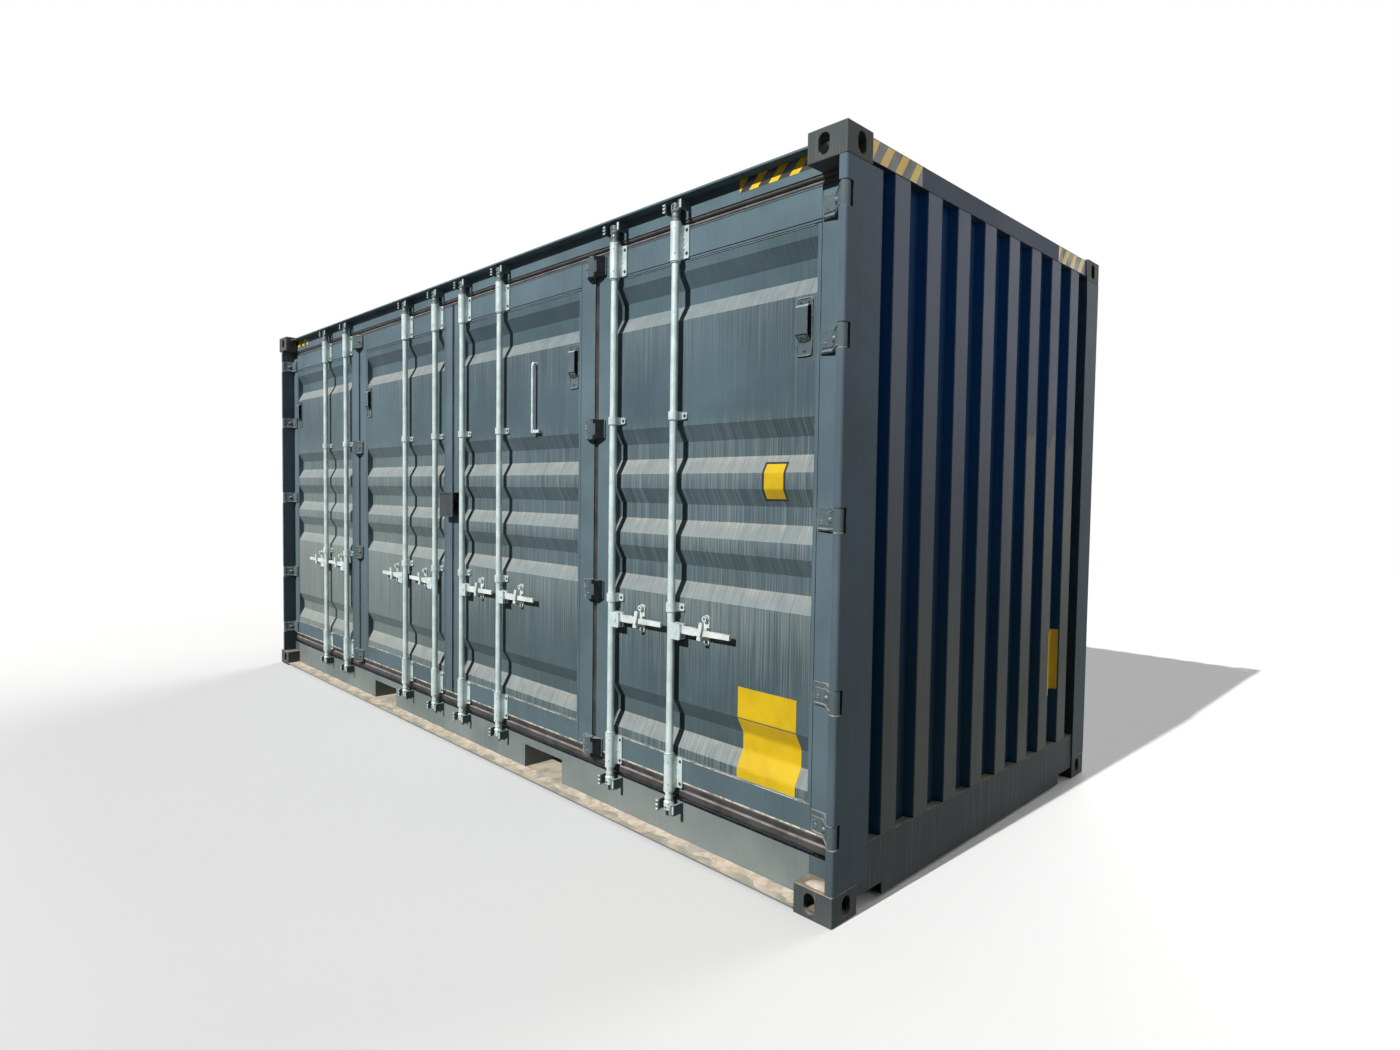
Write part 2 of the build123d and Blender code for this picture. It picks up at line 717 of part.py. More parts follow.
with BuildPart() as right_bottom_rail:
    rail_back_x = end_face_x - end_rail_width
    with BuildSketch(Plane.XZ.offset(-casting_inner_y)) as section:
        with BuildLine() as profile:
            Polyline((end_face_x, rail_lift), (end_face_x, end_sill_top), (rail_back_x, end_sill_top),
                     (rail_back_x, end_sill_top - plate), (end_face_x - plate, end_sill_top - plate),
                     (end_face_x - plate, rail_lift + plate), (rail_back_x, rail_lift + plate),
                     (rail_back_x, rail_lift), close=True)
        make_face()
    extrude(amount=2 * casting_inner_y)
    for edge in (-1, 1):
        with Locations((end_face_x, edge * (casting_inner_y - end_notch_width / 2), rail_lift)):
            Box(4 * end_rail_width, end_notch_width, 2 * (end_notch_top - rail_lift), mode=Mode.SUBTRACT)
    with Locations((end_face_x - end_rail_width / 2, (end_front_y - casting_inner_y) / 2,
                    (casting_height + end_sill_top) / 2)):
        Box(end_rail_width, end_front_y + casting_inner_y, end_sill_top - casting_height, mode=Mode.SUBTRACT)
pieces["right_bottom_rail"] = right_bottom_rail.part

end_outer_x = end_face_x - end_step
end_valley_x = end_outer_x - end_depth
end_rib_count = int((end_back_y - end_front_y) / end_pitch)
end_first_rib = (end_front_y + end_back_y) / 2 - (end_rib_count - 1) * end_pitch / 2
end_points = [(end_valley_x, end_front_y)]
for count in range(end_rib_count):
    rib_middle = end_first_rib + count * end_pitch
    end_points.append((end_valley_x, rib_middle - end_rib / 2 - end_slope))
    end_points.append((end_outer_x, rib_middle - end_rib / 2))
    end_points.append((end_outer_x, rib_middle + end_rib / 2))
    end_points.append((end_valley_x, rib_middle + end_rib / 2 + end_slope))
end_points.append((end_valley_x, end_back_y))
with BuildPart() as right_end_wall:
    with BuildSketch(Plane.XY.offset(end_sill_top)) as section:
        with BuildLine() as profile:
            Polyline(*end_points, *[(x - end_sheet, y) for x, y in reversed(end_points)], close=True)
        make_face()
    extrude(amount=end_rail_low - end_sill_top)
pieces["right_end_wall"] = right_end_wall.part

wall_outer_y = back_face_y - end_step
wall_valley_y = wall_outer_y - wall_depth
wall_ribs = int(2 * rail_end_x / wall_pitch)
wall_start = -wall_ribs * wall_pitch / 2
back_points = [(-rail_end_x, wall_outer_y)]
for count in range(wall_ribs):
    rib_start = wall_start + count * wall_pitch
    back_points.append((rib_start + wall_outer / 2, wall_outer_y))
    back_points.append((rib_start + wall_outer / 2 + wall_slope, wall_valley_y))
    back_points.append((rib_start + wall_pitch - wall_outer / 2 - wall_slope, wall_valley_y))
    back_points.append((rib_start + wall_pitch - wall_outer / 2, wall_outer_y))
back_points.append((rail_end_x, wall_outer_y))
with BuildPart() as back_wall:
    with BuildSketch(Plane.XY.offset(sill_top)) as section:
        with BuildLine() as profile:
            Polyline(*back_points, *[(x, y - wall_sheet) for x, y in reversed(back_points)], close=True)
        make_face()
    extrude(amount=roof_low - back_rail_size - sill_top)
pieces["back_wall"] = back_wall.part

roof_front_y = face_y + roof_edge_lap
roof_back_y = back_face_y - 10
ridge_count = int(2 * rail_end_x / roof_pitch)
first_ridge = -ridge_count * roof_pitch / 2
roof_points = [(-rail_end_x, roof_low)]
for count in range(ridge_count):
    ridge_low = first_ridge + count * roof_pitch + (roof_pitch - roof_ridge) / 2
    roof_points.append((ridge_low - roof_slope, roof_low))
    roof_points.append((ridge_low, roof_low + roof_height))
    roof_points.append((ridge_low + roof_ridge, roof_low + roof_height))
    roof_points.append((ridge_low + roof_ridge + roof_slope, roof_low))
roof_points.append((rail_end_x, roof_low))
with BuildPart() as roof:
    with BuildSketch(Plane.XZ.offset(-roof_front_y)) as section:
        with BuildLine() as profile:
            Polyline(*roof_points, *[(x, z + roof_sheet) for x, z in reversed(roof_points)], close=True)
        make_face()
    extrude(amount=roof_front_y - roof_back_y)
    roof_end_x = end_face_x - end_rail_width
    with Locations(((rail_end_x + roof_end_x) / 2, 0, roof_low + roof_sheet / 2)):
        Box(roof_end_x - rail_end_x, 2 * casting_inner_y, roof_sheet)
pieces["roof"] = roof.part

left_beam_outer = end_leaf_x
left_beam_x = (left_beam_outer - rail_end_x) / 2
left_beam_depth = -rail_end_x - left_beam_outer
left_beam_y = (end_front_y + end_back_y) / 2
left_beam_length = end_back_y - end_front_y
with BuildPart() as left_header:
    header_low = end_leaf_high + end_beam_gap
    with Locations((left_beam_x, left_beam_y, (header_low + end_rail_top) / 2)):
        Box(left_beam_depth, left_beam_length, end_rail_top - header_low)
        Box(left_beam_depth - 2 * plate, left_beam_length, end_rail_top - header_low - 2 * plate,
            mode=Mode.SUBTRACT)
pieces["left_header"] = left_header.part

with BuildPart() as left_sill:
    sill_high = end_leaf_low - end_beam_gap
    with Locations((left_beam_x, left_beam_y, (rail_lift + sill_high) / 2)):
        Box(left_beam_depth, left_beam_length, sill_high - rail_lift)
        Box(left_beam_depth - 2 * plate, left_beam_length, sill_high - rail_lift - 2 * plate,
            mode=Mode.SUBTRACT)
pieces["left_sill"] = left_sill.part

floor_front = face_y + plate
floor_back = back_face_y - plate
floor_middle_y = (floor_front + floor_back) / 2
with BuildPart() as floor:
    floor_z = floor_top - floor_thickness / 2
    with Locations((0, floor_middle_y, floor_z)):
        Box(2 * rail_end_x, floor_back - floor_front, floor_thickness)
    right_reach = end_face_x - plate
    with Locations(((rail_end_x + right_reach) / 2, left_beam_y, floor_z)):
        Box(right_reach - rail_end_x, left_beam_length, floor_thickness)
pieces["floor"] = floor.part

member_low = floor_top - floor_thickness - member_height
first_member = pocket_centre + pocket_to_member
outer_members = [first_member + count * member_pitch
                 for count in range(int((rail_end_x - member_width - first_member) / member_pitch) + 1)]
inner_members = [pocket_centre / 3, 2 * pocket_centre / 3]
member_spots = [0] + [side * spot for side in (-1, 1) for spot in inner_members + outer_members]
with BuildPart() as cross_members:
    for spot in member_spots:
        with BuildSketch(Plane.XZ.offset(-floor_front)) as section:
            with Locations((spot, member_low + member_height / 2)):
                Rectangle(member_width, member_height)
            with Locations((spot + skin, member_low + member_height / 2)):
                Rectangle(member_width, member_height - 2 * skin, mode=Mode.SUBTRACT)
        extrude(amount=floor_front - floor_back)
pieces["cross_members"] = cross_members.part

# Rubber seals: a lipped strip above and below the side leaves, flat strips between them, and a frame
# of rubber round the end doors
seal_front = face_y + 6
seal_back = face_y + leaf_thickness - 6
seal_lip = 9
with BuildPart() as door_seals:
    for low_z, high_z in ((seal_low, leaf_bottom), (leaf_top, top_rail_bottom)):
        middle_z = (low_z + high_z) / 2
        with BuildSketch(Plane.YZ.offset(left_strip_x)) as section:
            with BuildLine() as profile:
                Polyline((seal_back, low_z), (seal_front, low_z), (seal_front - 2, low_z + seal_lip),
                         (seal_front, middle_z - 6), (seal_front + seal_lip, middle_z),
                         (seal_front, middle_z + 6),
                         (seal_front - 2, high_z - seal_lip), (seal_front, high_z),
                         (seal_back, high_z), close=True)
            make_face()
        extrude(amount=right_strip_x - left_strip_x)
    for low_x, high_x in ((left_strip_x, -leaf_outer_edge),
                          (-fold_seam_x - seam_half_gap, -fold_seam_x + seam_half_gap),
                          (-centre_half_gap, centre_half_gap),
                          (fold_seam_x - seam_half_gap, fold_seam_x + seam_half_gap),
                          (leaf_outer_edge, right_strip_x)):
        with Locations(((low_x + high_x) / 2, (seal_front + seal_back) / 2, leaf_middle)):
            Box(high_x - low_x, seal_back - seal_front, leaf_top - leaf_bottom)
    end_seal_x = end_leaf_x + leaf_thickness / 2
    end_leaf_z = (end_leaf_low + end_leaf_high) / 2
    end_seal = leaf_thickness - 14
    for edge_y in (end_middle_y - (end_middle_y - end_front_y + end_middle_y - end_leaf_front) / 2,
                   end_middle_y, end_middle_y + (end_back_y + end_leaf_back) / 2 - end_middle_y):
        seal_width = end_leaf_gap if edge_y == end_middle_y else end_leaf_margin
        with Locations((end_seal_x, edge_y, end_leaf_z)):
            Box(end_seal, seal_width, end_leaf_high - end_leaf_low + 2 * end_beam_gap)
    for edge_z in (end_leaf_low - end_beam_gap / 2, end_leaf_high + end_beam_gap / 2):
        with Locations((end_seal_x, left_beam_y, edge_z)):
            Box(end_seal, left_beam_length, end_beam_gap)
pieces["door_seals"] = door_seals.part

side_spots = [side_spot(x) for x in rod_positions]
end_spots = [end_spot(y) for y, side in end_rods]

# The middle guides rest on the panels, except beside a fold, where their plates lap a stile
stile_reach = seam_half_gap + fold_stile + guide_flange_half
panel_spots = [side_spot(x) for x in rod_positions if abs(abs(x) - fold_seam_x) > stile_reach]
stile_spots = [side_spot(x) for x in rod_positions if abs(abs(x) - fold_seam_x) <= stile_reach]
guide_sets = [(guide_spans[0], 0, side_spots), (guide_spans[-1], 0, side_spots),
              (end_guide_spans[0], 0, end_spots), (end_guide_spans[-1], 0, end_spots)]
for span in guide_spans[1:-1]:
    guide_sets.append((span, panel_step, panel_spots + end_spots))
    guide_sets.append((span, 0, stile_spots))
guides = [(rod_guide(*span, seat), spots) for span, seat, spots in guide_sets]
with BuildPart() as rod_guides:
    add([guide.moved(spot) for guide, spots in guides for spot in spots])
pieces["rod_guides"] = rod_guides.part

keepers = [rod_keeper(cam_low_z, -1, keeper_low_reach), rod_keeper(cam_high_z, 1, keeper_high_reach)]
with BuildPart() as rod_keepers:
    add([keeper.moved(spot) for keeper in keepers for spot in side_spots + end_spots])
pieces["rod_keepers"] = rod_keepers.part

catches = {side: handle_catch(side) for side in (-1, 1)}
with BuildPart() as handle_catches:
    add([catches[side].moved(spot) for side, spot in zip(rod_sides, side_spots)])
    add([catches[side].moved(spot) for (y, side), spot in zip(end_rods, end_spots)])
pieces["handle_catches"] = handle_catches.part

end_bars = {side: lock_rod(side, end_guide_spans) for side in (-1, 1)}
with BuildPart() as end_lock_rods:
    add([end_bars[side].moved(spot) for (y, side), spot in zip(end_rods, end_spots)])
pieces["end_lock_rods"] = end_lock_rods.part

with BuildPart() as end_handles:
    add([levers[side].moved(spot) for (y, side), spot in zip(end_rods, end_spots)])
pieces["end_handles"] = end_handles.part

with BuildPart() as fold_hinge:
    half_height = fold_hinge_height / 2
    pin_y = -fold_pin_stand_off
    for rise, blade_half in ((0, half_height - 6), (blade_press, half_height - 22)):
        with BuildSketch(Plane.XY.offset(-blade_half)) as plan:
            with BuildLine() as outline:
                Polyline((-fold_blade_reach + 2 * rise, 0), (-fold_blade_reach + 2 * rise, -7 - rise / 2),
                         (-22, pin_y - 12 - rise / 2), (22, pin_y - 12 - rise / 2),
                         (fold_blade_reach - 2 * rise, -7 - rise / 2),
                         (fold_blade_reach - 2 * rise, 0), close=True)
            make_face()
        extrude(amount=2 * blade_half)
    with BuildSketch(Plane.XY.offset(-half_height)) as knuckle:
        with Locations((0, pin_y)):
            Circle(fold_knuckle_radius)
    extrude(amount=fold_hinge_height)
    for ring_z in (-half_height / 3, half_height / 3):
        with BuildSketch(Plane.XY.offset(ring_z - 1)) as split_line:
            with Locations((0, pin_y)):
                Circle(fold_knuckle_radius + touch)
                Circle(fold_knuckle_radius - 2, mode=Mode.SUBTRACT)
                Rectangle(4 * fold_knuckle_radius, 2 * fold_knuckle_radius, mode=Mode.INTERSECT,
                          align=(Align.CENTER, Align.MAX))
        extrude(amount=2, mode=Mode.SUBTRACT)
with BuildPart() as fold_hinges:
    add([fold_hinge.part.moved(Location((seam_x, face_y, fold_hinge_low + count * fold_hinge_step)))
         for seam_x in (-fold_seam_x, fold_seam_x) for count in range(4)])
pieces["fold_hinges"] = fold_hinges.part

with BuildPart() as post_hinges:
    for side, outer_x, strip_x in ((-1, left_outer_x, left_strip_x), (1, right_outer_x, right_strip_x)):
        knuckle_x = outer_x - side * (knuckle_radius + knuckle_edge)
        knuckle_y = -half_width + knuckle_radius + knuckle_edge
        leaf_edge = side * leaf_outer_edge
        blade_end = leaf_edge - side * post_blade_reach
        for middle_z in post_hinge_heights:
            for rise, blade_half in ((0, post_hinge_height / 2), (blade_press, post_hinge_height / 2 - 20)):
                with BuildSketch(Plane.XY.offset(middle_z - blade_half)) as blade:
                    with BuildLine() as outline:
                        Polyline((blade_end + side * 2 * rise, face_y),
                                 (blade_end + side * 2 * rise, face_y - 8 - rise),
                                 (leaf_edge - side * 15, face_y - 16 - rise),
                                 (knuckle_x - side * 9, knuckle_y - 15 + rise), (knuckle_x, knuckle_y),
                                 (knuckle_x - side * 12, knuckle_y + 12),
                                 (strip_x - side, -half_width + post_notch_depth - 2),
                                 (leaf_edge - side * 4, face_y), close=True)
                    make_face()
                extrude(amount=2 * blade_half)
            with BuildSketch(Plane.XY.offset(middle_z - post_hinge_height / 2)) as knuckle:
                with Locations((knuckle_x, knuckle_y)):
                    Circle(knuckle_radius)
            extrude(amount=post_hinge_height)
            with Locations((knuckle_x, knuckle_y, middle_z)):
                Cylinder(pin_radius, post_notch_height)
pieces["post_hinges"] = post_hinges.part

with BuildPart() as vents:
    for spot in vent_spots:
        with BuildSketch(Plane.XZ.offset(-face_y - panel_step)) as back_plate:
            with Locations((spot, (vent_low + vent_high) / 2)):
                RectangleRounded(vent_width, vent_high - vent_low, vent_corner)
        extrude(amount=vent_plate)
        with BuildSketch(Plane.YZ.offset(spot - vent_width / 2 + vent_margin)) as hood:
            with BuildLine() as profile:
                Polyline((face_y, vent_hood_top), (face_y - vent_hood_reach + 6, vent_hood_top),
                         (face_y - vent_hood_reach, vent_hood_top - 8),
                         (face_y - vent_hood_reach, vent_hood_front_low),
                         (face_y, vent_hood_low), close=True)
            make_face()
        extrude(amount=vent_width - 2 * vent_margin)
        with BuildSketch(Plane.YZ.offset(spot - vent_width / 2 + 2 * vent_margin)) as grille:
            with BuildLine() as profile:
                Polyline((face_y - vent_hood_reach, vent_hood_front_low - touch),
                         (face_y - vent_hood_reach, vent_hood_front_low - 8),
                         (face_y - 6, vent_hood_low - touch), (face_y - 6, vent_hood_low + 6),
                         (face_y - vent_hood_reach + vent_grille_depth, vent_hood_front_low), close=True)
            make_face()
        extrude(amount=vent_width - 4 * vent_margin, mode=Mode.SUBTRACT)
pieces["vents"] = vents.part

with BuildPart() as lock_box:
    middle_z = (box_low_z + box_high_z) / 2
    with Locations(((box_low_x + box_high_x) / 2, face_y - box_reach / 2, middle_z)):
        Box(box_high_x - box_low_x, box_reach, box_high_z - box_low_z)
    with Locations(((box_low_x + box_sheet + box_high_x + touch) / 2, face_y - box_reach / 2,
                    (box_low_z - touch + box_high_z - box_sheet) / 2)):
        Box(box_high_x - box_low_x - box_sheet + touch, box_reach - 2 * box_sheet,
            box_high_z - box_low_z - box_sheet + touch, mode=Mode.SUBTRACT)
    with Locations(((box_low_x + box_high_x) / 2 - box_lip, face_y - box_reach, box_high_z - box_lip)):
        Box(box_high_x - box_low_x - 3 * box_lip, 2 * box_sheet + touch, box_sheet, mode=Mode.SUBTRACT)
    staple_x = box_high_x - 2 * staple_radius
    staple_y = face_y - box_reach / 2
    with BuildSketch(Plane.YZ.offset(staple_x - staple_bar)) as staple:
        with Locations((staple_y, box_high_z - box_sheet - staple_radius + staple_bite)):
            Circle(staple_radius)
            Circle(staple_radius - 2 * staple_bar, mode=Mode.SUBTRACT)
    extrude(amount=2 * staple_bar)
pieces["lock_box"] = lock_box.part

with BuildPart() as white_tube:
    with Locations((tube_x, face_y - tube_stand_off, (tube_low + tube_high) / 2)):
        Cylinder(tube_radius, tube_high - tube_low)
    with BuildSketch(Plane.XZ.offset(-face_y - panel_step)) as eye:
        with Locations((tube_x, tube_high + eye_radius / 2)):
            Circle(eye_radius)
    extrude(amount=tube_stand_off + panel_step)
    with Locations((tube_x + tube_bracket / 2 - tube_radius,
                    face_y + panel_step - (tube_stand_off + panel_step) / 2,
                    tube_low + tube_bracket_height / 2)):
        Box(tube_bracket, tube_stand_off + panel_step, tube_bracket_height)
pieces["white_tube"] = white_tube.part

end_levels = (end_leaf_low, end_leaf_low + end_frame_width, end_leaf_high - end_frame_width, end_leaf_high)
end_leaf_width = (end_leaf_back - end_leaf_front - end_leaf_gap) / 2
end_stiles = (end_frame_width, end_frame_width)
end_leaf = [leaf_frame(-end_leaf_width / 2, end_leaf_width / 2, end_stiles, end_levels),
            leaf_panel(-end_leaf_width / 2 + end_frame_width, end_leaf_width / 2 - end_frame_width,
                       end_levels[1], end_levels[2])]
with BuildPart() as end_doors:
    for side in (-1, 1):
        leaf_place = end_spot(end_middle_y + side * (end_leaf_width + end_leaf_gap) / 2)
        add([part.moved(leaf_place) for part in end_leaf])
pieces["end_doors"] = end_doors.part

end_hinge_step = (end_hinge_high - end_hinge_low) / (end_hinge_count - 1)
with BuildPart() as end_door_hinges:
    end_pin_x = -half_length + end_pin_inset
    for edge_y, leaf_edge, out in ((end_front_y, end_leaf_front, -1), (end_back_y, end_leaf_back, 1)):
        for count in range(end_hinge_count):
            middle_z = end_hinge_low + count * end_hinge_step
            with BuildSketch(Plane.XY.offset(middle_z - end_hinge_height / 2)) as blade:
                with BuildLine() as outline:
                    Polyline((end_leaf_x, leaf_edge - out * 80), (end_leaf_x - 12, leaf_edge - out * 80),
                             (end_leaf_x - 12, leaf_edge - out * 30), (end_pin_x + 11, leaf_edge),
                             (end_pin_x - 4, edge_y + out * 18), (end_pin_x - 4, edge_y + out * 90),
                             (left_outer_x, edge_y + out * 90), (left_outer_x, edge_y),
                             (end_leaf_x, leaf_edge - out * 2), close=True)
                make_face()
                with Locations((end_pin_x, edge_y + out * 75)):
                    Circle(knuckle_radius - 2)
            extrude(amount=end_hinge_height)
pieces["end_door_hinges"] = end_door_hinges.part

for name, part in pieces.items():
    part.label = name
    export_step(part, "parts/" + name + ".step")
    print(name, len(part.solids()), round(part.volume / 1e6, 2))
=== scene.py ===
# %% [markdown]
# A steel freight container that opens along one side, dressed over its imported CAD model.
# Every object is in metres: X runs along the box, the doors face -Y and Z is up. This lesson
# gives them paint, zinc and rubber, and adds the small forms that CAD leaves out.

import bmesh
import bpy
import numpy as np
from mathutils import Matrix, Vector


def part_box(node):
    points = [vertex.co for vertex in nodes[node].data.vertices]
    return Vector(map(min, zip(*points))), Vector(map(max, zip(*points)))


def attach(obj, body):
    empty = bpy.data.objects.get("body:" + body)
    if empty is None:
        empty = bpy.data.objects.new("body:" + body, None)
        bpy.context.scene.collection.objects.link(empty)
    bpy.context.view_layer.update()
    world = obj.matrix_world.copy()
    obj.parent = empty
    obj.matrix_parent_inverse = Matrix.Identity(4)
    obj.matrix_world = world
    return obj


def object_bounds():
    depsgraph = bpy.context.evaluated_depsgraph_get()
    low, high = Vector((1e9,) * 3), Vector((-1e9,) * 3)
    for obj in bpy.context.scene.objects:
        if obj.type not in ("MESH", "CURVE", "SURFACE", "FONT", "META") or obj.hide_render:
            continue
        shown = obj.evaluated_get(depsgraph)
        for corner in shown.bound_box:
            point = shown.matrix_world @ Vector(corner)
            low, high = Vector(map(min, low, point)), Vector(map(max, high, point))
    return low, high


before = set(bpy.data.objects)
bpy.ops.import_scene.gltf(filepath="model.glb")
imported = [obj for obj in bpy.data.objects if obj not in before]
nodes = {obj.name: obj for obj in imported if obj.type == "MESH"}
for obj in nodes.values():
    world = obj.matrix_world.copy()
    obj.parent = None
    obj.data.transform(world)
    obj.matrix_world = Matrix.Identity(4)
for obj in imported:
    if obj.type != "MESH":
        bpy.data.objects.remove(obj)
cad_low, cad_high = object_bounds()
print("nodes", len(nodes), "box", tuple(cad_low), tuple(cad_high))

# %% [markdown]
# The photograph was taken close to the near corner with a wide lens.
# A camera in Blender is placed by a matrix whose columns are its right, up and backward directions.
# Those three came from the corner castings, whose places on a container are the same everywhere.

# %% Camera
camera_data = bpy.data.cameras.new("corner_camera")
camera_data.sensor_width = 36
camera_data.lens = 20.44
camera = bpy.data.objects.new("corner_camera", camera_data)
camera_right = (0.70285295, 0.71119787, 0.01397570)
camera_up = (-0.03865054, 0.01856417, 0.99908033)
camera_back = (0.71028435, -0.70274673, 0.04053607)
camera_place = (4.68685, -3.55745, 1.58154)
columns = np.array([camera_right, camera_up, camera_back, camera_place]).T
camera.matrix_world = Matrix(np.vstack([columns, (0, 0, 0, 1)]).tolist())
bpy.context.scene.collection.objects.link(camera)
bpy.context.scene.camera = camera
print("camera", camera_place)

# %% [markdown]
# Materials are built from nodes, and every one of them repeats the same few steps.
# These helpers add a node, feed its sockets and hand back its output.
# Colours are written as they look on a screen and turned into the linear values that shaders mix.

# %% Node helpers
def linear(shade):
    """Linear colour of three 8-bit screen numbers, by the screen's transfer curve; anything else as it is."""
    if not isinstance(shade, tuple) or len(shade) != 3:
        return shade
    part = np.array(shade) / 255
    return (*np.where(part <= 0.04045, part / 12.92, ((part + 0.055) / 1.055) ** 2.4).tolist(), 1.0)


def feed(tree, socket, value):
    """Links an output to a socket, or writes a plain value on it."""
    if isinstance(value, bpy.types.NodeSocket):
        tree.links.new(value, socket)
    else:
        socket.default_value = value


def add_node(tree, kind, feeds=None, **settings):
    """Adds one shader node, with its settings and what feeds its sockets."""
    made = tree.nodes.new("ShaderNode" + kind)
    for name, value in settings.items():
        setattr(made, name, value)
    for socket, value in (feeds or {}).items():
        feed(tree, made.inputs[socket], value)
    return made


def calc(tree, operation, *values, clamp=False):
    """One sum of numbers, such as MULTIPLY or ADD."""
    return add_node(tree, "Math", dict(enumerate(values)), operation=operation, use_clamp=clamp).outputs[0]


def times(tree, *values):
    """Product of two or more values."""
    product = values[0]
    for value in values[1:]:
        product = calc(tree, "MULTIPLY", product, value)
    return product


def between(tree, share, low, high):
    """Number on the straight line from low, at a share of 0, to high, at a share of 1."""
    return calc(tree, "MULTIPLY_ADD", share, high - low, low)


def ease(tree, value, low, high):
    """0 up to low, 1 from high, and a smooth step between; low above high turns it round."""
    feeds = {"Value": value, "From Min": low, "From Max": high}
    return add_node(tree, "MapRange", feeds, interpolation_type="SMOOTHSTEP").outputs["Result"]


def above(tree, value, start, span):
    """0 up to a start that may itself be an input, and a smooth step to 1 over the span beyond it."""
    return ease(tree, value, start, calc(tree, "ADD", start, span))


def tint(tree, mask, below, above):
    """Colour above laid over colour below where the mask is 1; three numbers are a screen colour."""
    return add_node(tree, "Mix", {0: mask, 6: linear(below), 7: linear(above)}, data_type="RGBA").outputs[2]


def lay(tree, colour, over, share, *masks):
    """Lays the colour over by a share on what is there so far, where all the masks are 1."""
    return tint(tree, times(tree, *masks, share), colour, over)


def axes_of(tree, kind="Object"):
    """X, Y and Z of the point being shaded in the object's own metres, or of another kind of coordinate."""
    return add_node(tree, "SeparateXYZ", {0: add_node(tree, "TexCoord").outputs[kind]}).outputs


def grain_of(tree, scale, detail=3.0, roughness=0.55, stretch=None):
    """Noise from 0 to 1 at so many grains a metre, stretched by three factors if given."""
    point = add_node(tree, "TexCoord").outputs["Object"]
    if stretch is not None:
        point = add_node(tree, "VectorMath", {0: point, 1: stretch}, operation="MULTIPLY").outputs[0]
    feeds = {"Vector": point, "Scale": scale, "Detail": detail, "Roughness": roughness}
    return add_node(tree, "TexNoise", feeds).outputs[0]


print("node helpers ready")

# %% [markdown]
# Weather leaves the same marks on every painted piece: rain streaks, dust, chips and rust.
# Each mark is a node group, built once, that puts out a mask from 0 to 1.
# A material then lays its own colour through that mask, so one effect serves many paints.

# %% Group helper
def new_group(title, output, **inputs):
    """Node group with number inputs and one number output; returns it, its inputs and its output's socket."""
    group = bpy.data.node_groups.new(title, "ShaderNodeTree")
    for name, value in inputs.items():
        group.interface.new_socket(name, in_out="INPUT", socket_type="NodeSocketFloat").default_value = value
    group.interface.new_socket(output, in_out="OUTPUT", socket_type="NodeSocketFloat")
    return group, group.nodes.new("NodeGroupInput").outputs, group.nodes.new("NodeGroupOutput").inputs[output]


def use(tree, group, **values):
    """Places a group in a material with its own values and returns its output."""
    placed = tree.nodes.new("ShaderNodeGroup")
    placed.node_tree = group
    for name, value in values.items():
        feed(tree, placed.inputs[name], value)
    return placed.outputs[0]


print("group helpers ready")

# %% [markdown]
# Rain carries dust down a wall in thin upright lines.
# Noise that is fine across the wall and long in height gives them, and a threshold thins them out.
# The Run input lowers that threshold, so streaks start thick below an edge and end at different heights.
# Inward is the fineness in depth: low on the grooved doors, so that a streak runs on over the slopes.

# %% Rain streaks
streaks, entry, leave = new_group("rain_streaks", "Mask", Across=110.0, Inward=110.0, Along=2.2, Cover=0.62,
                                  Run=0.0, Softness=0.12)
stretch = add_node(streaks, "CombineXYZ", {0: entry["Across"], 1: entry["Inward"], 2: entry["Along"]}).outputs[0]
cover = calc(streaks, "SUBTRACT", entry["Cover"], times(streaks, entry["Run"], 0.26))
feed(streaks, leave, above(streaks, grain_of(streaks, 1.0, 3.0, 0.6, stretch), cover, entry["Softness"]))
print(streaks.name, len(streaks.nodes), "nodes")

# %% [markdown]
# Dust lies on whatever faces up, in uneven patches.
# The height part of the surface's own direction tells how level it is.

# %% Settled dust
dusting, entry, leave = new_group("settled_dust", "Mask", Low=0.15, High=0.6, Patches=9.0, Breakup=0.5)
facing_up = ease(dusting, axes_of(dusting, "Normal")["Z"], entry["Low"], entry["High"])
bare = ease(dusting, grain_of(dusting, entry["Patches"], 5.0, 0.6), 0.62, 0.38)
kept = calc(dusting, "SUBTRACT", 1.0, times(dusting, entry["Breakup"], bare))
feed(dusting, leave, times(dusting, facing_up, kept))
print(dusting.name, len(dusting.nodes), "nodes")

# %% [markdown]
# Paint chips first along edges. The Bevel node looks a few millimetres around a point,
# and where it finds another direction than the face's own, an edge is near.

# %% Worn edges
chips, entry, leave = new_group("worn_edges", "Mask", Reach=0.004, Patches=30.0, Cover=0.5)
rounded = add_node(chips, "Bevel", {"Radius": entry["Reach"]}, samples=4).outputs[0]
own = add_node(chips, "NewGeometry").outputs["Normal"]
same = add_node(chips, "VectorMath", {0: rounded, 1: own}, operation="DOT_PRODUCT").outputs["Value"]
flakes = above(chips, grain_of(chips, entry["Patches"], 5.0, 0.7), entry["Cover"], 0.08)
feed(chips, leave, times(chips, ease(chips, same, 0.97, 0.80), flakes))
print(chips.name, len(chips.nodes), "nodes")

# %% [markdown]
# Large soft clouds of lighter and darker tone keep a big wall from looking printed.
# Rust blooms in small spots with ragged rims, which a rough noise with a high threshold gives.
# The paint's own skin is a fine orange peel over shallow dents, sent out as a height for Bump.

# %% Tone, rust and paint skin
clouds, entry, leave = new_group("cloudy_tone", "Value", Scale=2.0, Low=0.35, High=0.65)
feed(clouds, leave, ease(clouds, grain_of(clouds, entry["Scale"], 6.0, 0.6), entry["Low"], entry["High"]))

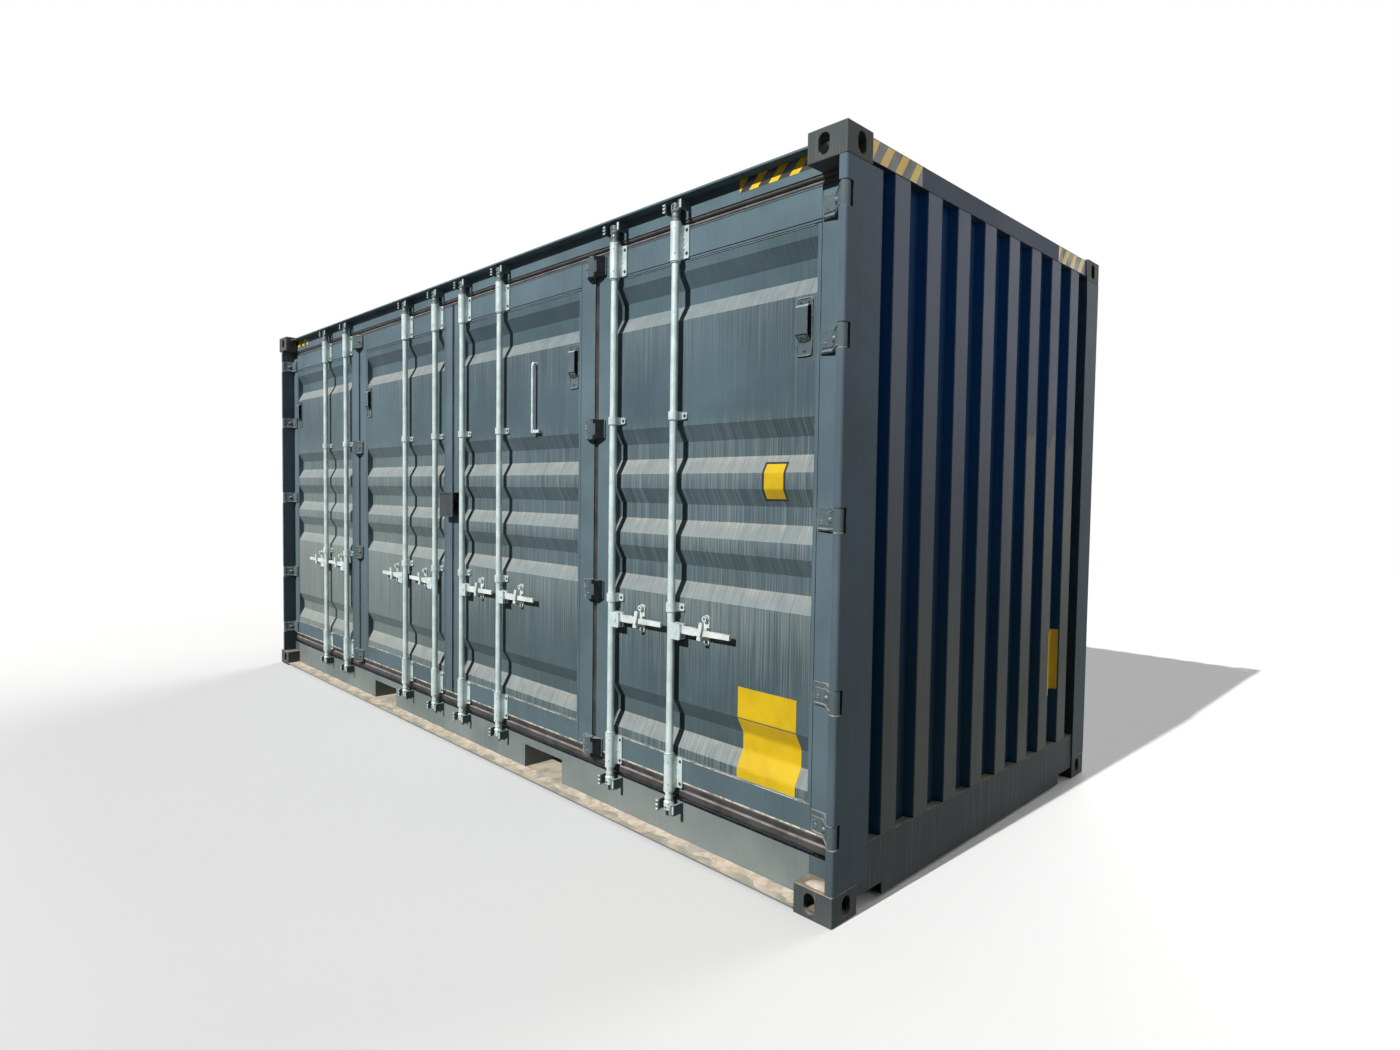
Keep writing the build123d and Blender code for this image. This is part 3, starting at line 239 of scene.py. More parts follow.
rust_spots, entry, leave = new_group("rust_spots", "Mask", Scale=14.0, Cover=0.68)
feed(rust_spots, leave, above(rust_spots, grain_of(rust_spots, entry["Scale"], 9.0, 0.7), entry["Cover"], 0.07))

skin, entry, leave = new_group("paint_skin", "Height", Peel=260.0, Dents=5.0, Depth=0.5)
peel = times(skin, grain_of(skin, entry["Peel"], 2.0), 0.12)
feed(skin, leave, calc(skin, "ADD", peel, times(skin, grain_of(skin, entry["Dents"], 3.0), entry["Depth"])))
print("tone, rust and skin ready")

# %% [markdown]
# The doors' sheets have five level grooves. Below each one the rain leaves its dust,
# most of it just under the groove's lower edge. A colour ramp over the height draws that as
# five peaks: each rises over its own fall of cleaner paint, stays full up to the first height
# above the groove's foot and is gone at the second.

# %% Runs below the grooves
groove_tops = np.array([2.554, 1.8775, 1.5995, 1.3265, 0.645])
groove_height, groove_slope, groove_depth = 0.212, 0.070, 0.0385
groove_feet = groove_tops - groove_height
ramp_height = 3.0
run_strengths, run_falls = (0.75, 1.0, 0.9, 0.85, 0.55), (0.20, 0.42, 0.07, 0.07, 0.30)
run_full, run_gone = 0.030, 0.072
groove_runs, entry, leave = new_group("groove_runs", "Run")
ramp = add_node(groove_runs, "ValToRGB", {0: calc(groove_runs, "DIVIDE", axes_of(groove_runs)["Z"], ramp_height)})
stops = []
for foot, strength, fall in zip(groove_feet[::-1], run_strengths, run_falls):
    stops += [(foot - fall, 0.0), (foot, strength), (foot + run_full, strength), (foot + run_gone, 0.0)]
points = ramp.color_ramp.elements
for height, strength in stops[2:]:
    points.new(height / ramp_height)
for point, (height, strength) in zip(points, stops):
    point.position = height / ramp_height
    point.color = (strength, strength, strength, 1)
feed(groove_runs, leave, ramp.outputs[0])
print("groups", sorted(group.name for group in bpy.data.node_groups))

# %% [markdown]
# Every material starts with a Principled shader and ends with three feeds: a colour, a dullness,
# and a height that the Bump node turns into a normal. Many small things need only soft clouds
# between two tones, so one function makes those whole and lays marks of their own on top.

# %% Material helpers
def start_material(name, metallic=0.0, specular=0.3, roughness=0.5):
    """A material with its node tree and its Principled shader, plain values set on the shader itself."""
    material = bpy.data.materials.new(name)
    material.use_nodes = True
    shader = material.node_tree.nodes["Principled BSDF"]
    shader.inputs["Metallic"].default_value = metallic
    shader.inputs["Specular IOR Level"].default_value = specular
    shader.inputs["Roughness"].default_value = roughness
    return material, material.node_tree, shader


def feed_shader(tree, shader, colour, dullness, height, strength, distance):
    """Feeds the shader its colour, its roughness and a bump of some strength and depth in metres."""
    bump = add_node(tree, "Bump", {"Strength": strength, "Distance": distance, "Height": height}).outputs[0]
    for socket, value in (("Base Color", colour), ("Roughness", dullness), ("Normal", bump)):
        feed(tree, shader.inputs[socket], value)


def cloudy(name, scale, low, high, dullness, specular, bump, marks=None, **limits):
    """Clouds between two tones and two roughnesses; bump is the grains a metre, strength and depth."""
    material, tree, shader = start_material(name, specular=specular)
    tone = use(tree, clouds, Scale=scale, **limits)
    colour = tint(tree, tone, low, high)
    if marks:
        colour = marks(tree, colour)
    grain, strength, distance = bump
    feed_shader(tree, shader, colour, between(tree, tone, *dullness), grain_of(tree, grain), strength, distance)
    return material


print("material helpers ready")

# %% [markdown]
# Painted steel is most of the box. One function lays the marks over a base colour in the order
# in which they come on the real thing: tone, streaks, dust, rust and last the chipped edges.
# The grooved sheets get three marks more: scratched dust between the grooves, a haze that thickens
# towards the far left and the foot, and sand on the slopes that face up.

# %% Painted steel
def groove_haze(tree, colour, place, scratch, fine):
    """Scratched dust where the grooves lie close together, and haze towards the left and the foot."""
    height = place["Z"]
    close_grooves = times(tree, ease(tree, height, 1.95, 1.84), ease(tree, height, 0.9, 1.1))
    colour = lay(tree, colour, (150, 159, 158), 0.42, scratch, close_grooves)
    leftward = times(tree, ease(tree, place["X"], 1.2, -2.6), between(tree, fine, 0.42, 0.82))
    footward = between(tree, ease(tree, height, 2.3, 0.9), 0.10, 0.85)
    return lay(tree, colour, (158, 164, 156), 0.9, leftward, footward)


def groove_sand(tree, colour, place, scratch, settled, run):
    """Sandy tone on the dusty slopes that rain seldom reaches, at the top and on the left leaves."""
    dry = calc(tree, "SUBTRACT", 0.95, run, clamp=True)
    sandy_zone = calc(tree, "MAXIMUM", ease(tree, place["Z"], 2.2, 2.0), ease(tree, place["X"], 0.3, -0.9))
    return lay(tree, colour, (200, 186, 164), between(tree, scratch, 0.2, 1.0), settled, dry, sandy_zone)


def painted_steel(name, shade, light, streak=0.35, streaked=(150, 158, 154), dust=0.7,
                  dusty=(160, 154, 142), rust=0.0, wear=0.5, worn=(150, 155, 152),
                  grooves=False, comb=0.10, reach=0.004, tone_scale=1.6, across=150.0, deep=0.3, low_dust=False):
    """Weathered paint, darker towards the foot, under rain streaks, dust, rust and worn edges."""
    material, tree, shader = start_material(name, specular=0.06)
    tone = use(tree, clouds, Scale=tone_scale)
    place = axes_of(tree)
    colour = tint(tree, tone, shade, light)
    colour = lay(tree, colour, (48, 57, 48), deep, ease(tree, place["Z"], 2.4, 0.3))
    run = use(tree, groove_runs) if grooves else 0.0
    inward = 1.5 if grooves else across
    lines = use(tree, streaks, Run=run, Across=across, Inward=inward, Along=1.3)
    colour = lay(tree, colour, streaked, streak, lines)
    fine = use(tree, streaks, Across=300.0, Inward=inward * 2, Along=2.0, Cover=0.42, Softness=0.25)
    colour = lay(tree, colour, streaked, calc(tree, "MULTIPLY_ADD", run, 0.22, comb), fine)
    settled = times(tree, use(tree, dusting, Breakup=0.25 if grooves else 0.5), dust)
    if grooves:
        scratch = use(tree, streaks, Across=330.0, Inward=2.0, Along=1.6, Cover=0.50, Softness=0.12)
        colour = groove_haze(tree, colour, place, scratch, fine)
        settled = times(tree, settled, between(tree, fine, 0.70, 1.00))
    if low_dust:
        settled = times(tree, settled, ease(tree, place["Z"], 0.165, 0.150))
    colour = tint(tree, settled, colour, dusty)
    if grooves:
        colour = groove_sand(tree, colour, place, scratch, settled, run)
    if rust > 0:
        colour = lay(tree, colour, (112, 62, 36), rust, use(tree, rust_spots))
    if wear > 0:
        colour = lay(tree, colour, worn, wear, use(tree, chips, Reach=reach))
    dullness = calc(tree, "MULTIPLY_ADD", settled, 0.35, between(tree, tone, 0.50, 0.60))
    feed_shader(tree, shader, colour, dullness, use(tree, skin), 0.35, 0.002)
    return material


print("painted steel ready")

# %% [markdown]
# Each paint is that function with its own tones and its own share of every mark.
# The values were found beside the photograph, part by part.

# %% Paints
pale_dust = (172, 176, 170)
door_paint = painted_steel("door_panel_paint", (72, 90, 97), (86, 106, 114), grooves=True, deep=0.36,
                           streak=0.22, dust=0.95, dusty=(154, 161, 160), wear=0, comb=0.08)
frame_paint = painted_steel("door_frame_paint", (88, 106, 114), (101, 121, 130), streak=0.12,
                            comb=0.05, dusty=pale_dust)
post_paint = painted_steel("post_paint", (84, 99, 110), (98, 114, 126), streak=0.2, rust=0.3,
                           comb=0.04, dusty=pale_dust, deep=0.4)
# A darker, bluer copy of the rail paint: painted shade for the closed end's top rail.
end_rail_paint_and_shade = painted_steel("end_rail_paint_and_shade", (62, 72, 90), (74, 84, 102), streak=0.12, dust=0.3,
                               comb=0.03, streaked=(96, 106, 120), wear=0.2, rust=0.3)
sill_paint = painted_steel("end_sill_paint", (60, 67, 70), (76, 82, 84), comb=0.15, rust=0.3, deep=0.0)
rail_paint = painted_steel("rail_paint", (104, 114, 113), (124, 132, 129), streak=0.22, dust=1.0,
                           streaked=(168, 168, 158), comb=0.08, dusty=(212, 198, 176),
                           rust=0.25, deep=0.0, low_dust=True)
under_paint = painted_steel("underside_paint", (44, 50, 54), (62, 68, 71), rust=0.5, wear=0.3, deep=0)
roof_paint = painted_steel("roof_paint", (88, 100, 104), (112, 120, 120), dust=0.65, rust=0.3,
                           streak=0.0, dusty=(156, 154, 144))
back_paint = painted_steel("back_wall_paint", (84, 100, 106), (98, 115, 120), wear=0)
hinge_paint = painted_steel("hinge_paint", (82, 97, 102), (98, 113, 118), streak=0.1, wear=0.9,
                            worn=(176, 182, 180), dusty=(186, 190, 186), reach=0.003)
# Paler paint on hinge ridges and rims: wear, with a painted highlight along them.
worn_and_lit_paint = painted_steel("worn_and_lit_hinge_paint", (104, 116, 120), (140, 150, 152), streak=0.3, wear=0.9,
                           worn=(190, 194, 190), tone_scale=20.0)
box_paint = painted_steel("lock_box_paint", (66, 70, 75), (84, 88, 92), streak=0.4, wear=0.8,
                          worn=(170, 172, 170), across=220.0, dusty=(150, 146, 140))
casting_paint = painted_steel("casting_paint", (64, 69, 71), (86, 91, 91), dust=0.8, rust=0.8,
                              dusty=(190, 172, 146), reach=0.006, deep=0.0,
                              worn=(132, 92, 64))
print("paints ready")

# %% [markdown]
# The closed end is in shade. Its ribs are a warmer grey than the doors. Its valleys get navy painted shade
# with a painted reflection of the sky, lighter on their side slopes, and the whole end gets painted shade towards its
# foot.
# Here the depth along X picks between the tones, so the change follows the ribs exactly.

# %% End wall paint and painted shade
end_face_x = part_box("right_end_wall")[1][0]
end_paint_and_shade, tree, shader = start_material("end_wall_paint_and_shade", specular=0.1)
place = axes_of(tree)
tone = use(tree, clouds, Scale=1.3)
# Painted shade: every tone of the closed end darkens towards its foot.
lower = ease(tree, place["Z"], 2.5, 0.5)
rib_tone = tint(tree, lower, tint(tree, tone, (96, 104, 122), (107, 115, 133)), (74, 80, 76))
# Navy painted shade with a painted sky reflection in the valleys, lighter painted light on their side slopes.
painted_valley_shade = tint(tree, lower, tint(tree, tone, (4, 42, 78), (8, 50, 88)), (4, 26, 38))
painted_slope_light = tint(tree, lower, (14, 68, 124), (8, 46, 66))
slope = ease(tree, place["X"], end_face_x - 0.041, end_face_x - 0.036)
rib = ease(tree, place["X"], end_face_x - 0.006, end_face_x - 0.002)
ragged = calc(tree, "MULTIPLY_ADD", grain_of(tree, 9.0, 5.0, 0.7), 0.5, place["Z"])
rib_tone = lay(tree, rib_tone, (156, 156, 146), 0.45, ease(tree, ragged, 2.16, 2.10),
               ease(tree, place["Y"], 0.05, 0.45), ease(tree, place["Z"], 0.6, 1.5))
colour = tint(tree, rib, tint(tree, slope, painted_valley_shade, painted_slope_light), rib_tone)
lines = use(tree, streaks, Across=60.0, Along=0.9, Cover=0.56)
colour = lay(tree, colour, (140, 140, 136), 0.14, lines, rib)
feed_shader(tree, shader, colour, between(tree, tone, 0.46, 0.58), use(tree, skin), 0.35, 0.002)
print("end wall paint, ribs out to", end_face_x)

# %% [markdown]
# Rods, handles and their fittings are hot-dip galvanised. Zinc freezes in flat crystals,
# the spangle, which Voronoi cells of slightly different tone and dullness imitate.

# %% Zinc
def zinc(name, low, high, metallic, dullness, grease_and_shade=0.0):
    """Galvanised steel: crystal cells, soft stains, dusty tops; the last argument paints grease and shade on the rods'
    upper ends.
    """
    material, tree, shader = start_material(name, metallic, 0.5)
    point = add_node(tree, "TexCoord").outputs["Object"]
    cells = add_node(tree, "TexVoronoi", {"Vector": point, "Scale": 160.0}).outputs["Color"]
    spangle = add_node(tree, "SeparateColor", {0: cells}).outputs[0]
    stain = use(tree, clouds, Scale=11.0)
    mixed = calc(tree, "MULTIPLY_ADD", spangle, 0.25, times(tree, stain, 0.75))
    colour = tint(tree, mixed, low, high)
    colour = lay(tree, colour, (176, 166, 148), 0.35, use(tree, dusting, Low=0.5, High=0.95))
    if grease_and_shade > 0:
        # Grease, and painted shade under the top flange, on the rods' upper ends.
        colour = lay(tree, colour, (40, 42, 42), grease_and_shade, ease(tree, axes_of(tree)["Z"], 2.756, 2.775))
    colour = lay(tree, colour, (134, 84, 50), 0.5, use(tree, rust_spots, Scale=40.0, Cover=0.70))
    height = calc(tree, "ADD", times(tree, spangle, 0.3), stain)
    feed_shader(tree, shader, colour, between(tree, mixed, dullness - 0.08, dullness + 0.08), height, 0.25, 0.0008)
    return material


rod_zinc = zinc("rod_zinc", (184, 200, 199), (212, 227, 225), 0.2, 0.42, 0.75)
cast_zinc = zinc("cast_zinc", (192, 200, 196), (226, 232, 228), 0.15, 0.5)
bolt_steel = zinc("bolt_steel", (34, 38, 40), (64, 68, 70), 0.3, 0.5)
print("zinc ready")

# %% [markdown]
# Door seals are extruded rubber: matt, nearly black, dusty where they face up. The floor is
# plywood, whose grain is a noise stretched along X, and the tube is plain white plastic.

# %% Rubber, wood and plastic
def seal_dust(tree, colour):
    """Dust on the seals' upper faces."""
    return lay(tree, colour, (160, 155, 150), 0.8, use(tree, dusting, Low=0.0, High=0.7))


rubber = cloudy("seal_rubber", 8.0, (34, 33, 33), (66, 64, 63), (0.6, 0.8), 0.3, (180.0, 0.3, 0.001),
                seal_dust)
plastic = cloudy("tube_plastic", 20.0, (196, 206, 204), (226, 232, 229), (0.35, 0.55), 0.4,
                 (140.0, 0.15, 0.0008))
wood, tree, shader = start_material("floor_wood")
bands = grain_of(tree, 1.0, 4.0, 0.6, (3.0, 60.0, 60.0))
feed_shader(tree, shader, tint(tree, bands, (120, 86, 54), (168, 128, 84)), between(tree, bands, 0.5, 0.7),
            bands, 0.3, 0.001)
print("materials", len(bpy.data.materials))

# %% [markdown]
# Each CAD node now takes its finish, which goes into the slots its object already has.
# A node is known by the longest start of its name that has a finish.

# %% Dress the CAD nodes
starts = {
    door_paint: [f"side_leaf_{number}_panel" for number in range(1, 5)],
    frame_paint: ["side_leaf_", "end_doors", "front_top_rail", "back_top_rail", "left_header"],
    rod_zinc: ["lock_rod_", "end_lock_rods", "rod_guides"], cast_zinc: ["handle_", "end_handles"],
    hinge_paint: ["rod_keepers", "fold_hinges", "post_hinges", "end_door_hinges", "vents"],
    casting_paint: ["bottom_castings", "top_castings"],
    post_paint: ["front_right_post", "front_left_post", "back_posts"],
    rail_paint: ["front_bottom_rail", "back_bottom_rail", "fork_pocket_", "left_sill"],
    sill_paint: ["right_bottom_rail"], end_rail_paint_and_shade: ["right_top_rail"], end_paint_and_shade: ["right_end_wall"],
    roof_paint: ["roof"], back_paint: ["back_wall"], under_paint: ["cross_members"], wood: ["floor"],
    rubber: ["door_seals"], box_paint: ["lock_box"], plastic: ["white_tube"],
}
finishes = {start: finish for finish, names in starts.items() for start in names}
for name, piece in nodes.items():
    kind = max((start for start in finishes if name.startswith(start)), key=len)
    for slot in piece.material_slots:
        slot.material = finishes[kind]
print("dressed", len(nodes), "nodes")

# %% [markdown]
# New pieces are arrays of points. These helpers join a grid's points with quads, copy a shape
# to many places at once and put the result into a mesh. Doubles at a pole are merged,
# and the faces of a closed shape are then turned outwards.

# %% Mesh helpers
def track(x, y, z):
    """Points from three coordinates; a plain number repeats beside the arrays."""
    return np.stack(np.broadcast_arrays(x, y, z), axis=-1)


def grid_faces(rows, columns, round_columns=False):
    """Quads between neighbouring rows and columns of a grid; round columns join last to first."""
    index = np.arange(rows * columns).reshape(rows, columns)
    if round_columns:
        index = np.hstack([index, index[:, :1]])
    return np.stack([index[:-1, :-1], index[:-1, 1:], index[1:, 1:], index[1:, :-1]], axis=-1).reshape(-1, 4)


def copies(shape, spots):
    """The same shape at every spot: spot plus point, and face numbers moved on by the points before."""
    points, faces = shape[0].reshape(-1, 3), shape[1]
    spots = np.asarray(spots, float).reshape(-1, 1, 3)
    moved = (points[None] + spots).reshape(-1, 3)
    numbers = faces[None] + np.arange(len(spots)).reshape(-1, 1, 1) * len(points)
    return moved, numbers.reshape(-1, 4)


def joined(shapes):
    """Several (points, faces) pairs as one pair."""
    counts = np.cumsum([0] + [len(points.reshape(-1, 3)) for points, faces in shapes])
    points = np.vstack([points.reshape(-1, 3) for points, faces in shapes])
    faces = np.vstack([faces + count for (made, faces), count in zip(shapes, counts)])
    return points, faces


def put_piece(name, points, faces, finish, slot="grey_paint", body="container", closed=True):
    """Makes the mesh object, closes its poles, turns it outwards and lets it ride on its body."""
    mesh = bpy.data.meshes.new(name)
    mesh.from_pydata(points.reshape(-1, 3).tolist(), [], faces.tolist())
    shaper = bmesh.new()
    shaper.from_mesh(mesh)
    bmesh.ops.remove_doubles(shaper, verts=shaper.verts, dist=1e-6)
    if closed:
        bmesh.ops.recalc_face_normals(shaper, faces=shaper.faces)
    shaper.to_mesh(mesh)
    shaper.free()
    mesh.polygons.foreach_set("use_smooth", np.ones(len(mesh.polygons), bool))
    mesh.set_sharp_from_angle(angle=0.7)
    mesh.materials.append(finish)
    piece = bpy.data.objects.new(name, mesh)
    bpy.context.scene.collection.objects.link(piece)
    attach(piece, body)
    print(name, len(mesh.polygons), "faces")
    return piece


def bead(path, radius, sides=8):
    """Round bead: a circle carried along a path, its size eased to nothing at both ends."""
    path = np.asarray(path, float)
    along = np.gradient(path, axis=0)
    along /= np.linalg.norm(along, axis=1, keepdims=True)
    helper = np.where(np.abs(along[:, :1]) > 0.9, [[0, 0, 1]], [[1, 0, 0]])
    across = np.cross(along, helper)
    across /= np.linalg.norm(across, axis=1, keepdims=True)
    over = np.cross(across, along)
    turn = np.linspace(0, 2 * np.pi, sides, endpoint=False)
    size = np.full(len(path), radius)
    size[[0, -1]] = 0
    ring = np.cos(turn)[None, :, None] * across[:, None] + np.sin(turn)[None, :, None] * over[:, None]
    points = path[:, None] + size[:, None, None] * ring
    return points, grid_faces(len(path), sides, True)


def turned(profile, sides=16, upright=False):
    """A profile of (radius, distance out) turned round an axis that points at -Y, or at +Z if upright."""
    radius, out = np.asarray(profile, float).T[:, :, None]
    turn = np.linspace(0, 2 * np.pi, sides, endpoint=False)
    wide, over = radius * np.cos(turn), radius * np.sin(turn)
    return track(wide, over, out) if upright else track(wide, -out, over), grid_faces(len(profile), sides, True)


def ribbon(path, width, across):
    """Flat strip: a row of points half the width to each side of a path, along a given direction."""
    path = np.asarray(path, float)
    side = np.asarray(across, float) * width / 2
    return np.stack([path - side, path + side]), grid_faces(2, len(path))


print("mesh helpers ready")

# %% [markdown]
# Each pressed sheet is welded to its door frame all round. The upright welds follow the grooves
# in and out. The path is the groove profile as a function of height: straight pieces between
# the corner points, found by interpolation, with a bead carried along it.

# %% Weld beads on the door leaves
face_y = -1.124
panel_y = face_y + 0.0015
stand_off = 0.0005


def groove_line(height):
    """Depth of the sheet at a height: piecewise straight between the grooves' corner points."""
    rises = np.array([-groove_height, groove_slope - groove_height, -groove_slope, 0])
    corners = (groove_tops[::-1, None] + rises).ravel()
    depths = np.tile([0, groove_depth, groove_depth, 0], len(groove_tops))
    return panel_y + np.interp(height, corners, depths)


beads, panel_edges = [], []
heights = np.unique(np.concatenate([np.linspace(0.40, 2.59, 120), groove_tops, groove_feet,
                                    groove_tops - groove_slope, groove_feet + groove_slope]))
for number in range(1, 5):
    low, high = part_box(f"side_leaf_{number}_panel")
    panel_edges.append((low[0], high[0]))
    for edge in (low[0] + 0.001, high[0] - 0.001):
        beads.append(bead(track(edge, groove_line(heights) - stand_off, heights), 0.0028))
    for level in (low[2], high[2]):
        beads.append(bead(track(np.linspace(low[0], high[0], 60), panel_y, level), 0.003, 6))
put_piece("door_sheet_welds", *joined(beads), frame_paint)
print("panels", [(round(low, 3), round(high, 3)) for low, high in panel_edges])

# %% [markdown]
# The rods' bearings are bolted through their flanges. A bolt head here is a profile turned
# round its axis: a low washer, a domed rim and a dark socket. One array holds all places.

# %% Bolts on the rod bearings
rod_x = np.array([-2.087, -1.660, -0.614, -0.178, 0.178, 0.614, 1.660, 2.087])
rod_y = face_y - 0.035
bolt_profile = [(0.0, -0.001), (0.0078, -0.001), (0.0078, 0.0012), (0.0068, 0.0018), (0.0062, 0.0034),
                (0.0050, 0.0042), (0.0034, 0.0042), (0.0032, 0.0022), (0.0, 0.0020)]
bolt_heights = (0.272, 0.373, 1.070, 1.920, 2.628, 2.729)
spots = [(x + side * 0.042, face_y - 0.008, z) for x in rod_x for side in (-1, 1) for z in bolt_heights]
put_piece("bearing_bolts", *copies(turned(bolt_profile, 12), spots), bolt_steel, "galvanised")

# %% Pins and weld spots on the sleeves
sleeves = ((0.250, 0.395), (2.604, 2.753))
pin_inset, weld_rises = 0.022, (-0.026, -0.004, 0.020)
pin_profile = [(0.0, -0.002), (0.0030, -0.002), (0.0030, 0.0006), (0.0, 0.0010)]
spots = [(x + side * 0.013, rod_y - 0.0200, z) for x in rod_x for side in (-1, 1)
         for low, high in sleeves for z in (low + pin_inset, high - pin_inset)]
put_piece("sleeve_pins", *copies(turned(pin_profile, 8), spots), bolt_steel, "galvanised")
weld = bead(track(0, 0, np.linspace(-0.006, 0.006, 7)), 0.0036)
spots = [(x + side * 0.0275, face_y - 0.0085, (low + high) / 2 + rise) for x in rod_x for side in (-1, 1)
         for low, high in sleeves for rise in weld_rises]
put_piece("sleeve_welds", *copies(weld, spots), cast_zinc, "galvanised")

# %% [markdown]
# Each rod ends in a cast cam. Forged rings sit beyond the sleeves, the neck swells under the cam,
# and the cam carries tabs at its ears and an eye in its crown. All of it turns with the rod,
# so each rod gets its own piece, and no part of it reaches further out than the cam's ears.

# %% Trim of the rod ends
cams = ((0.174, -1), (2.822, 1))
eye_out, eye_rise, eye_radius = 0.0192, 0.0095, 0.0075


def lathe_ring(height, radius, thick):
    """Rounded ring about the rod: five (radius, height) points between two points on the axis."""
    steps = np.array([(0, -1), (0.88, -1), (0.97, -0.5), (1, 0), (0.97, 0.5), (0.88, 1), (0, 1)])
    return turned(steps * (radius, thick / 2) + (0, height), 20, True)


def cam_trim(plane, away):
    """Swollen neck, ear tabs, eye ring and knob of one cam, measured from its plane away from the leaf."""
    neck = np.array([(0.0, -0.040), (0.0180, -0.040), (0.0205, -0.031), (0.0188, -0.027), (0.0182, -0.022),
                     (0.0225, -0.016), (0.0235, -0.012), (0.0215, -0.008), (0.0, -0.008)])
    shapes = [turned(neck * (1, away) + (0, plane), 20, True)]
    for side in (-1, 1):
        for deep in (-0.0045, 0.0045):
            shapes.append(bead(track(side * 0.0235, deep, plane + away * np.linspace(-0.014, 0.016, 9)), 0.0036))
    turn = np.linspace(0, 2 * np.pi, 17)
    eye = track(eye_radius * np.cos(turn), -eye_out, plane + away * eye_rise + eye_radius * np.sin(turn))
    points, faces = turned([(0.0, -0.004), (0.0045, -0.003), (0.0052, 0.001), (0.0040, 0.004), (0.0, 0.0052)], 10)
    return shapes + [bead(eye, 0.0022), (points + [0.002, -0.0100, plane - away * 0.004], faces)]


trim = [lathe_ring(height, 0.0222, 0.006) for low, high in sleeves for height in (low - 0.0155, high + 0.0155)]
trim += [shape for plane, away in cams for shape in cam_trim(plane, away)]
points, faces = joined(trim)
for number, x in enumerate(rod_x, start=1):
    put_piece(f"rod_trim_{number}", points + [x, rod_y, 0], faces, rod_zinc, "galvanised", f"lock_rod_{number}")

# %% Cam eyes and keeper teeth
eye_plug = turned([(0.0, -0.002), (0.0058, -0.002), (0.0058, 0.0012), (0.0, 0.0012)], 12)
for number, x in enumerate(rod_x, start=1):
    spots = [(x, rod_y - 0.0195, plane + away * eye_rise) for plane, away in cams]
    put_piece(f"cam_eyes_{number}", *copies(eye_plug, spots), bolt_steel, "galvanised", f"lock_rod_{number}")
tooth = bead(track(np.linspace(-0.009, 0.009, 9), 0, 0), 0.0042)
tooth_spots = [(x - 0.050, face_y - 0.0610, z) for x in rod_x for z in (0.147, 0.166, 0.185, 2.811, 2.826, 2.841)]
bar = bead(track(0, 0, np.linspace(-0.020, 0.020, 12)), 0.0044)
bar_spots = [(x + 0.0545, face_y - 0.0605, z) for x in rod_x for z in (0.166, 2.826)]
put_piece("keeper_teeth", *joined([copies(tooth, tooth_spots), copies(bar, bar_spots)]), cast_zinc, "galvanised")

# %% [markdown]
# The hinges of the outer leaves are stamped blades. A pressed ridge climbs towards the knuckle,
# the lower edge is rolled, and one bolt and one rivet show. Dirt and rust gather in the gaps
# above and below the knuckle. The blade's own front is a line of three points, which the beads follow.

# %% Trim of the post hinges
hinge_heights = (0.333, 0.829, 1.489, 2.149, 2.645)
knuckle_y = -1.200
blade_shares, blade_depths = (0, 0.45, 1), (-1.132, -1.140, -1.212)
blade_lines = [(((0.04, 0.003), (0.45, 0.026), (0.98, 0.036)), 0.0032),
               (((0.02, -0.036), (0.45, -0.037), (0.98, -0.033)), 0.0042),
               (((0.03, -0.034), (0.03, 0.002)), 0.0028)]


def hinge_bead(line, middle, blade_x, radius):
    """Bead over a blade's slanting front along a line of (share of the blade, rise over its middle) points."""
    corners = np.linspace(0, 1, len(line))
    share, rise = (np.interp(np.linspace(0, 1, 24), corners, part) for part in np.transpose(line))
    across, deep = (np.interp(share, blade_shares, ends) for ends in (blade_x, blade_depths))
    return bead(track(across, deep - stand_off, middle + rise), radius)


ridges = [hinge_bead(line, middle, blade_x, radius)
          for blade_x in ((2.863, 2.925, 2.998), (-2.863, -2.925, -2.953))
          for middle in hinge_heights for line, radius in blade_lines]
# The ridges take the pale paint: wear and a painted highlight.
put_piece("hinge_ridges", *joined(ridges), worn_and_lit_paint)
boss = turned([(0.0, -0.004), (0.0085, -0.004), (0.0085, 0.0), (0.0066, 0.0014), (0.0050, 0.0002), (0.0030, 0.0002),
               (0.0026, 0.0026), (0.0, 0.0032)])
rivet = turned([(0.0, -0.016), (0.0120, -0.016), (0.0120, 0.0), (0.0096, 0.0046), (0.0050, 0.0072), (0.0, 0.0080)])
boss_spots = [(x, -1.1395, middle - 0.010) for x in (-2.889, 2.889) for middle in hinge_heights]
rivet_spots = [(x, -1.168, middle - 0.002) for x in (2.952, -2.936) for middle in hinge_heights]
put_piece("hinge_rivets", *joined([copies(boss, boss_spots), copies(rivet, rivet_spots)]), hinge_paint)

# %% Rings in the hinge gaps
def gap_rings(rise, radius):
    """One ring at the same rise above every knuckle."""
    spots = [(x, knuckle_y, middle + rise) for x in (3.010, -2.965) for middle in hinge_heights]
    return copies(lathe_ring(0.0, radius, 0.0028), spots)


rust_ring = cloudy("rusty_washer", 60.0, (64, 38, 40), (124, 88, 72), (0.75, 0.85), 0.2,
                   (300.0, 0.5, 0.001))
cream_ring = cloudy("greasy_washer", 50.0, (150, 142, 118), (224, 216, 192), (0.4, 0.6), 0.4,
                    (300.0, 0.3, 0.0006))
put_piece("upper_washers", *gap_rings(0.0445, 0.0172), rust_ring)
put_piece("lower_washers", *gap_rings(-0.0446, 0.0183), cream_ring)

# %% [markdown]
# A fold hinge has a rimmed blade on the inner leaf, with a pressed ring about its bolt.
# Its other blade looks black with shade, so a sheet of painted shade follows that blade's slanting front.
# A point on a blade comes from its share, 0 at the outer edge and 1 at the knuckle, and its height.

# %% Rims of the fold hinges
fold_heights = (0.297, 1.093, 1.889, 2.685)


